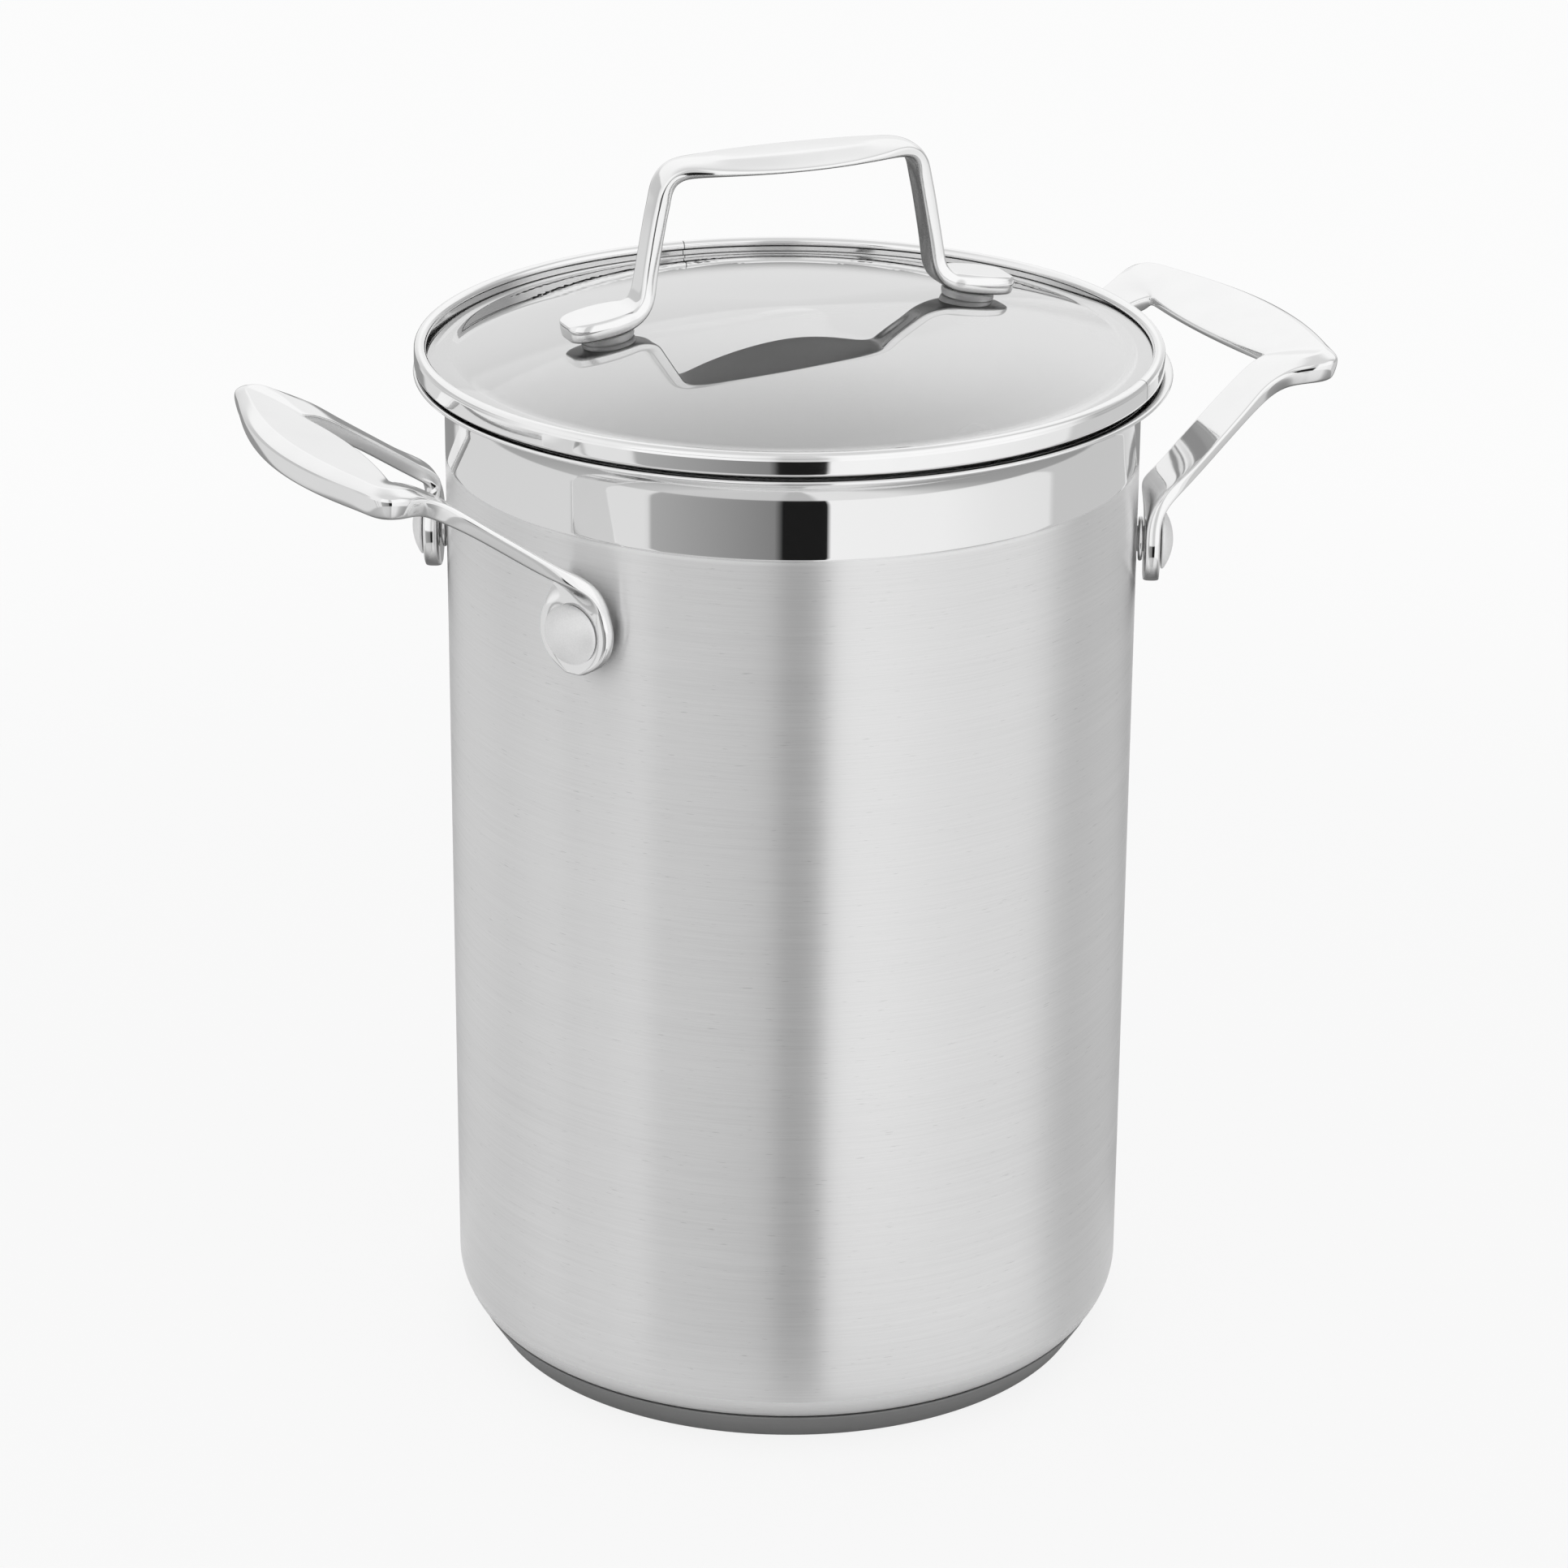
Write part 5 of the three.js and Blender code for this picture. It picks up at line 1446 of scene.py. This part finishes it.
@dataclass
class Strainer:
    """Perforated basket with three feet, two brackets and two folding wire handles."""

    radius: float = 74.0
    sheet: float = 0.8
    bottom: float = 13.5
    height: float = 170.0
    corner: float = 8.0
    roll: float = 0.7  # inside radius of the rolled edge
    foot_low: float = 7.5
    foot_high: float = 13.2
    foot_radius: float = 5.5
    foot_taper: float = 1.5
    foot_circle: float = 58.0
    feet: int = 3
    hole: float = 4.0
    columns: int = 12
    rows: int = 6
    pitch: float = 22.0
    first_row: float = 20.0  # above the floor
    cell_steps: int = 8
    collar: float = 1.35  # of the hole's radius
    collar_shares: tuple[float, ...] = (0.25, 0.5, 0.75, 1.0)
    floor_rings: tuple[tuple[float, int], ...] = ((20.0, 5), (42.0, 9))
    bracket_drop: float = 8.0
    bracket_high: float = 14.0
    bracket_sheet: float = 1.0
    gap: float = 0.3
    pivot_inset: float = 7.4
    ear_radius: float = 4.0
    ear_thick: float = 3.0
    ear_inside: float = 20.3
    ear_steps: int = 32
    ear_end: float = 0.7  # directions from which the ear's edge lies on the plate
    plate_margin: float = 2.0
    wire: float = 1.8
    wire_sides: int = 24
    ring_half: float = 16.0
    ring_drop: float = 40.0
    ring_corner: float = 11.0
    pin_corner: float = 3.5
    pin_end: float = 24.1
    stud_angle: float = math.radians(6)
    stud_shank: float = 1.5
    stud_head: float = 3.2
    stud_rise: float = 1.3
    stud_steps: int = 32

    @property
    def top(self) -> float:
        """Top of the rolled edge."""
        return self.bottom + self.height

    @property
    def inside(self) -> float:
        """Radius of the inside of the wall."""
        return self.radius - self.sheet

    @property
    def pivot(self) -> Vector:
        """Hinge line of the right folding handle, at its middle."""
        return Vector((self.inside - self.pivot_inset, 0.0,
                       self.top - self.bracket_drop - self.bracket_high / 2))

    def build(self) -> None:
        """Makes the basket and everything on it."""
        self.build_shell().piece("strainer", BASKET_FINISH, "basket", "basket_shell", wall=self.sheet)
        for index in range(self.feet):
            turn = turned_about_z(math.pi / 2 + FULL_TURN * index / self.feet)
            place = turn @ Matrix.Translation((self.foot_circle, 0, 0))
            self.build_foot().move(place).piece(
                f"strainer_foot_{index + 1}", BASKET_FINISH, "basket", f"basket_foot_{index + 1}")
        for side in Side:
            turn = turned_about_z(side.turn)
            self.build_bracket().move(turn).piece(
                f"strainer_bracket_{side.word}", BASKET_FINISH, "basket", f"basket_bracket_{side.word}")
            self.build_wire().move(turn).piece(
                f"wire_handle_{side.word}", POLISHED_FINISH, f"ring_{side.word}",
                f"basket_handle_{side.word}")
            for ends, place in fixings(side, self.stud_angle, self.pivot.z):
                self.build_stud().move(place).piece(
                    f"strainer_rivet_{ends}", SATIN_FINISH, "basket", f"bracket_rivet_{ends}")

    def cell(self, sheet: Workpiece, middle: Vector) -> None:
        """One rectangle with a round hole, on the unrolled wall."""
        half = Vector((math.pi * self.radius / self.columns, self.pitch / 2))
        corners = [(-1, -1), (1, -1), (1, 1), (-1, 1)]
        frame, hole, collar = [], [], []
        for index, start in enumerate(corners):
            end = corners[(index + 1) % 4]
            for step in range(self.cell_steps):
                share = step / self.cell_steps
                spot = Vector(start).lerp(Vector(end), share)
                angle = math.radians(225 + 90 * (index + share))
                around = Vector((math.cos(angle), 0.0, math.sin(angle)))
                frame.append(middle + Vector((spot.x * half.x, 0.0, spot.y * half.y)))
                collar.append(middle + around * (self.hole * self.collar))
                hole.append(middle + around * self.hole)
        ring = sheet.loop(frame)
        for share in self.collar_shares:
            ring = sheet.grow(ring, [start.lerp(end, share) for start, end in zip(frame, collar)])
        sheet.grow(ring, hole)

    def build_shell(self) -> Workpiece:
        """Outer face of the basket: holed wall, rolled edge, rounded corner and holed floor."""
        floor = self.bottom + self.sheet
        low = floor + self.first_row - self.pitch / 2
        around = FULL_TURN * self.radius
        shell = Workpiece()
        for row in range(self.rows):
            for column in range(self.columns):
                along = (column + (row % 2) / 2) / self.columns
                self.cell(shell, Vector((along * around, 0.0, low + self.pitch * (row + 0.5))))

        def rolled_up(spot: Vector) -> Vector:
            """Bends the unrolled wall round the axis."""
            angle = spot.x / self.radius
            return Vector((self.radius * math.cos(angle), self.radius * math.sin(angle), spot.z))

        shell.shape(rolled_up)
        steps = self.columns * self.cell_steps
        flat = self.radius - self.corner
        foot = Profile().arc((flat, self.bottom + self.corner), self.corner, -90, 0, 10)
        shell.turn(foot.to((self.radius, low)), steps)
        rim = Profile().to((self.radius, low + self.pitch * self.rows))
        centre = (self.radius + self.roll, self.top - self.roll - self.sheet)
        shell.turn(rim.arc(centre, self.roll, 180, -120, 20), steps)
        self.fill_floor(shell, flat)
        shell.weld()
        sample = max(shell.bm.faces, key=lambda face: face.calc_center_median().to_2d().length
                     if face.calc_center_median().z < low else 0.0)
        if sample.normal.dot(sample.calc_center_median()) < 0:
            bmesh.ops.reverse_faces(shell.bm, faces=shell.bm.faces[:])
        return shell

    def fill_floor(self, shell: Workpiece, flat: float) -> None:
        """Closes the floor around its holes."""
        edges = [edge for edge in shell.bm.edges if edge.is_boundary
                 and all(abs(vert.co.to_2d().length - flat) < WELD for vert in edge.verts)]
        for ring, holes in self.floor_rings:
            for index in range(holes):
                place = Matrix.Rotation(FULL_TURN * index / holes, 4, "Z") @ Matrix.Translation(
                    (ring, 0, self.bottom))
                made = bmesh.ops.create_circle(shell.bm, segments=24, radius=self.hole, matrix=place)
                edges.extend({edge for vert in made["verts"] for edge in vert.link_edges})
        bmesh.ops.triangle_fill(shell.bm, use_beauty=True, edges=edges)

    def build_foot(self) -> Workpiece:
        """Short tapered foot with a soft edge."""
        tip = self.foot_radius - self.foot_taper
        profile = Profile().to((0, self.foot_low))
        profile.arc((tip - 0.6, self.foot_low + 0.6), 0.6, -90, -10, 5)
        profile.to((self.foot_radius, self.foot_high), (0, self.foot_high))
        return Workpiece().turn(profile, SMALL_STEPS)

    def build_bracket(self) -> Workpiece:
        """Curved plate with an ear at each end of the hinge line."""
        bracket = Workpiece()
        outside = self.inside - self.gap
        half = self.ear_inside + self.ear_thick + self.plate_margin
        middle = self.pivot.z
        grid = bmesh.ops.create_grid(bracket.bm, x_segments=24, y_segments=6, size=1.0)
        faces = {face for vert in grid["verts"] for face in vert.link_faces}

        def on_wall(spot: Vector) -> Vector:
            """Lays the flat plate against the basket's wall."""
            angle = math.asin(half / outside) * spot.x
            return Vector((outside * math.cos(angle), outside * math.sin(angle),
                           middle + spot.y * self.bracket_high / 2))

        bracket.shape(on_wall)
        bmesh.ops.recalc_face_normals(bracket.bm, faces=list(faces))
        outward = sum((face.normal.x for face in faces)) > 0
        thickness = self.bracket_sheet if outward else -self.bracket_sheet
        bmesh.ops.solidify(bracket.bm, geom=list(faces), thickness=thickness)
        for way in (-1.0, 1.0):
            self.add_ear(bracket, way)
        return bracket.weld()

    def add_ear(self, bracket: Workpiece, way: float) -> None:
        """Round-ended ear with the bore for the wire's pin."""
        pivot, radius = self.pivot, self.ear_radius
        bore = self.wire + self.gap
        seat = self.inside - self.gap - self.bracket_sheet / 2
        turns = [FULL_TURN * step / self.ear_steps for step in range(self.ear_steps)]

        def hole(y: float) -> list[Vector]:
            """Edge of the bore at a distance along the hinge line."""
            return [pivot + Vector((bore * math.cos(turn), way * y, bore * math.sin(turn))) for turn in turns]

        def outline(y: float) -> list[Vector]:
            """Edge of the ear at a distance along the hinge line, out to the middle of the curved plate."""
            end = math.sqrt(seat ** 2 - y ** 2) - pivot.x
            points = []
            for turn in turns:
                x, z = math.cos(turn), math.sin(turn)
                spread = max(abs(x), abs(z))
                if x / spread > self.ear_end:
                    out = Vector((end, way * y, radius * z / spread))
                else:
                    out = Vector((radius * x, way * y, radius * z if x < 0 else math.copysign(radius, z)))
                points.append(pivot + out)
            return points

        near, far = self.ear_inside, self.ear_inside + self.ear_thick
        ring = bracket.loop(hole(near))
        for points in (outline(near), outline(far), hole(far), hole(near)):
            ring = bracket.grow(ring, points)

    def build_stud(self) -> Workpiece:
        """Small rivet with a domed head on each side of wall and plate."""
        inside = self.inside - self.gap - self.bracket_sheet - self.gap
        outside = self.radius + self.gap
        heads = Profile().head(self.stud_head, self.stud_rise, inside, -1.0)
        profile = Profile().to(*reversed(heads.points))
        profile.to((self.stud_shank, inside), (self.stud_shank, outside))
        profile.head(self.stud_head, self.stud_rise, outside)
        return Workpiece().turn(profile, self.stud_steps)

    def wire_path(self) -> list[tuple[Vector, Vector]]:
        """Half of the wire's route in Y and Z, from the pin's end to the middle of the ring.

        Returns:
            Places and directions.
        """
        route = []
        low = -self.ring_drop

        def arc(centre: Point, reach: float, start: float, end: float, steps: int) -> None:
            """Adds a bend."""
            for step in range(steps + 1):
                angle = math.radians(start + (end - start) * step / steps)
                way = math.copysign(1.0, end - start)
                y, z = centre[0] + reach * math.cos(angle), centre[1] + reach * math.sin(angle)
                route.append((Vector((0, y, z)), Vector((0, -math.sin(angle), math.cos(angle))) * way))

        route.append((Vector((0, self.pin_end, 0)), Vector((0, -1, 0))))
        arc((self.ring_half + self.pin_corner, -self.pin_corner), self.pin_corner, 90, 180, 8)
        arc((self.ring_half - self.ring_corner, low + self.ring_corner), self.ring_corner, 0, -90, 14)
        return route

    def build_wire(self) -> Workpiece:
        """Ring of round wire whose pins turn out into the ears."""
        turns = [FULL_TURN * step / self.wire_sides for step in range(self.wire_sides)]
        half = self.wire_path()
        other = [(Vector((0, -spot.y, spot.z)), Vector((0, way.y, -way.z))) for spot, way in reversed(half)]
        rings = []
        for spot, way in [*half, *other]:
            lift = way.cross(Vector((1, 0, 0)))
            rings.append([self.pivot + spot + Vector((math.cos(angle), 0, 0)) * self.wire
                          + lift * (math.sin(angle) * self.wire)
                          for angle in turns])
        wire = Workpiece()
        wire.loft(rings)
        return wire


@dataclass
class Studio:
    """Camera, surroundings and floor.

    The surroundings are rows of bearing, in degrees from the camera's, and linear grey. The limits
    between them are lifts above the horizon in degrees.
    """

    distance: float = 1.1487  # from the pot's axis, level
    height: float = 0.5957
    heading: float = math.radians(26.527)
    pitch: float = math.radians(21.771)
    roll: float = math.radians(0.379)
    lens: float = 118.39
    floor_radius: float = 1.2
    fade_start: float = 0.3
    fade_end: float = 0.75
    near_floor: float = 0.115  # floor that shows in the metal
    floor_drop: float = 0.0003  # keeps the floor clear of the base
    floor_edge: float = 0.02
    paper: float = 0.92
    paper_glow: float = 0.88  # share of the backdrop's own light in the floor, as the camera sees it
    backdrop: float = 0.97
    zones: Rows = (
        (-180, 0.3), (-150, 0.3), (-147, 0.7), (-77, 0.72), (-76, 0.25),
        (-75, 0.74), (-66, 0.76), (-65, 0.3), (-64, 0.78), (-48, 0.78), (-46.5, 0.41), (-4.8, 0.23),
        (-3.6, 0.012), (11.4, 0.012), (12.6, 0.95), (50, 0.93), (70, 0.86), (93, 0.82), (95, 0.6),
        (144, 0.6), (147, 0.3), (180, 0.3))
    glow: Rows = (
        (-180, 0.98), (-150, 0.95), (-110, 0.9), (-52, 0.88), (-46, 1.0), (-12, 0.94), (-5, 0.85), (-2, 0.62),
        (9, 0.64), (15, 1.0), (60, 1.0), (82, 1.0), (98, 0.95), (108, 0.6), (122, 0.58),
        (134, 0.9), (150, 0.97), (180, 0.98))
    horizon: Rows = (
        (-180, 0.88), (-165, 0.88), (-140, 0.6), (-105, 0.55), (-85, 0.88), (-52, 0.88), (-46, 1.0),
        (-12, 0.94), (-5, 0.85), (-2, 0.62), (9, 0.64), (15, 1.0), (75, 1.0), (92, 0.85), (104, 0.45),
        (140, 0.5), (165, 0.88), (180, 0.88))
    ground: Rows = (
        (-180, 0.35), (-150, 0.38), (-110, 0.42), (-75, 0.5), (-52, 0.58), (-46, 0.64), (-5, 0.6), (-2, 0.5),
        (7, 0.5), (10, 0.82), (40, 0.8), (62, 0.5), (84, 0.36), (150, 0.32), (180, 0.35))
    zone_low: float = -34.0
    zone_high: float = -8.0
    horizon_high: float = 14.0
    zone_soft: float = 4.0
    sky_low: float = 42.0
    sky_high: float = 70.0
    sky: float = 0.7

    def build(self) -> None:
        """Sets up everything around the object."""
        scene = bpy.context.scene
        scene.view_settings.view_transform = "Standard"
        self.build_camera(scene)
        self.build_world(scene)
        self.build_floor()

    def build_camera(self, scene: bpy.types.Scene) -> None:
        """Camera at the photograph's view."""
        ahead = Vector((math.sin(self.heading) * math.cos(self.pitch),
                        math.cos(self.heading) * math.cos(self.pitch), -math.sin(self.pitch)))
        level = ahead.cross(Vector((0, 0, 1))).normalized()
        above = level.cross(ahead)
        right = level * math.cos(self.roll) + above * math.sin(self.roll)
        up = above * math.cos(self.roll) - level * math.sin(self.roll)
        data = bpy.data.cameras.new("photo_view")
        data.lens = self.lens
        data.clip_start, data.clip_end = 0.01, 50.0
        camera = bpy.data.objects.new("photo_view", data)
        scene.collection.objects.link(camera)
        place = Matrix((right, up, -ahead)).transposed().to_4x4()
        place.translation = (-self.distance * math.sin(PHOTO_AZIMUTH),
                             -self.distance * math.cos(PHOTO_AZIMUTH), self.height)
        camera.matrix_world = place
        scene.camera = camera

    def build_world(self, scene: bpy.types.Scene) -> None:
        """Grey levels by bearing and lift: ground, reflectors with a dark gap, horizon, glow and sky."""
        world = bpy.data.worlds.new("studio")
        world.use_nodes = True
        scene.world = world
        graph = NodeGraph(world.node_tree)
        x, y, z = graph.parts(graph.node("ShaderNodeTexCoord", output="Generated"))
        sine, cosine = math.sin(PHOTO_AZIMUTH), math.cos(PHOTO_AZIMUTH)
        front = x * -sine + y * -cosine
        beside = x * cosine + y * -sine
        bearing = beside.angle_from(front) * (1 / FULL_TURN) + 0.5
        panels = graph.around(bearing, self.zones)
        glow = graph.around(bearing, self.glow)
        lift = z.arcsine() * (180 / math.pi)
        over = lift.rise(self.zone_high, self.zone_high + self.zone_soft)
        beneath = 1 - lift.rise(self.zone_low - self.zone_soft, self.zone_low)
        top = lift.rise(self.sky_low, self.sky_high)
        low = graph.blend(beneath, panels, graph.around(bearing, self.ground))
        high = lift.rise(self.horizon_high, self.horizon_high + self.zone_soft)
        middle = graph.blend(over, low, graph.around(bearing, self.horizon))
        around = graph.blend(top, graph.blend(high, middle, glow), grey(self.sky))
        studio = graph.node("ShaderNodeBackground", inputs={"Color": around, "Strength": 1.0})
        plain = graph.node("ShaderNodeBackground", inputs={"Color": grey(self.backdrop), "Strength": 1.0})
        seen = graph.node("ShaderNodeLightPath", output="Is Camera Ray")
        mixed = graph.node("ShaderNodeMixShader", inputs={0: seen, 1: studio, 2: plain})
        graph.node("ShaderNodeOutputWorld", inputs={"Surface": mixed})

    def build_floor(self) -> None:
        """Pale floor that takes the shadow, and shows in the metal only close to the pot."""
        shape = bmesh.new()
        bmesh.ops.create_circle(shape, cap_ends=True, segments=128, radius=self.floor_radius,
                                matrix=Matrix.Translation((0, 0, -self.floor_drop)))
        mesh = bpy.data.meshes.new("floor")
        shape.to_mesh(mesh)
        shape.free()
        floor = bpy.data.objects.new("floor", mesh)
        bpy.context.scene.collection.objects.link(floor)
        paper = bpy.data.materials.new("floor_paper")
        paper.use_nodes = True
        graph = NodeGraph(paper.node_tree)
        seen = graph.node("ShaderNodeLightPath", output="Is Camera Ray")
        mirrored = graph.node("ShaderNodeLightPath", output="Is Glossy Ray")
        reach = graph.node("ShaderNodeVectorMath", {"operation": "LENGTH"}, {0: graph.place()}, "Value")
        matt = graph.node("ShaderNodeBsdfDiffuse", inputs={"Color": grey(self.paper)})
        glow = graph.node("ShaderNodeEmission", inputs={"Color": grey(self.backdrop), "Strength": 1.0})
        clear = graph.node("ShaderNodeBsdfTransparent")
        lifted = graph.node("ShaderNodeMixShader", inputs={0: seen * self.paper_glow, 1: matt, 2: glow})
        far = reach.rise(self.near_floor, self.near_floor + self.floor_edge) * mirrored
        faded = reach.rise(self.fade_start, self.fade_end) * seen
        mixed = graph.node("ShaderNodeMixShader", inputs={0: far + faded, 1: lifted, 2: clear})
        graph.node("ShaderNodeOutputMaterial", inputs={"Surface": mixed})
        mesh.materials.append(paper)


def main() -> None:
    """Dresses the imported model."""
    logging.basicConfig(level=logging.INFO, format="%(name)s: %(message)s")
    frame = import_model()
    Studio().build()
    pot = Pot()
    for assembly in (pot, SideHandle(pot), Lid(pot), Strainer()):
        assembly.build()
    core = frame["nodes"]["base_core"].data
    core.materials.clear()
    core.materials.append(CORE_FINISH.material())


if __name__ == "__main__":
    main()
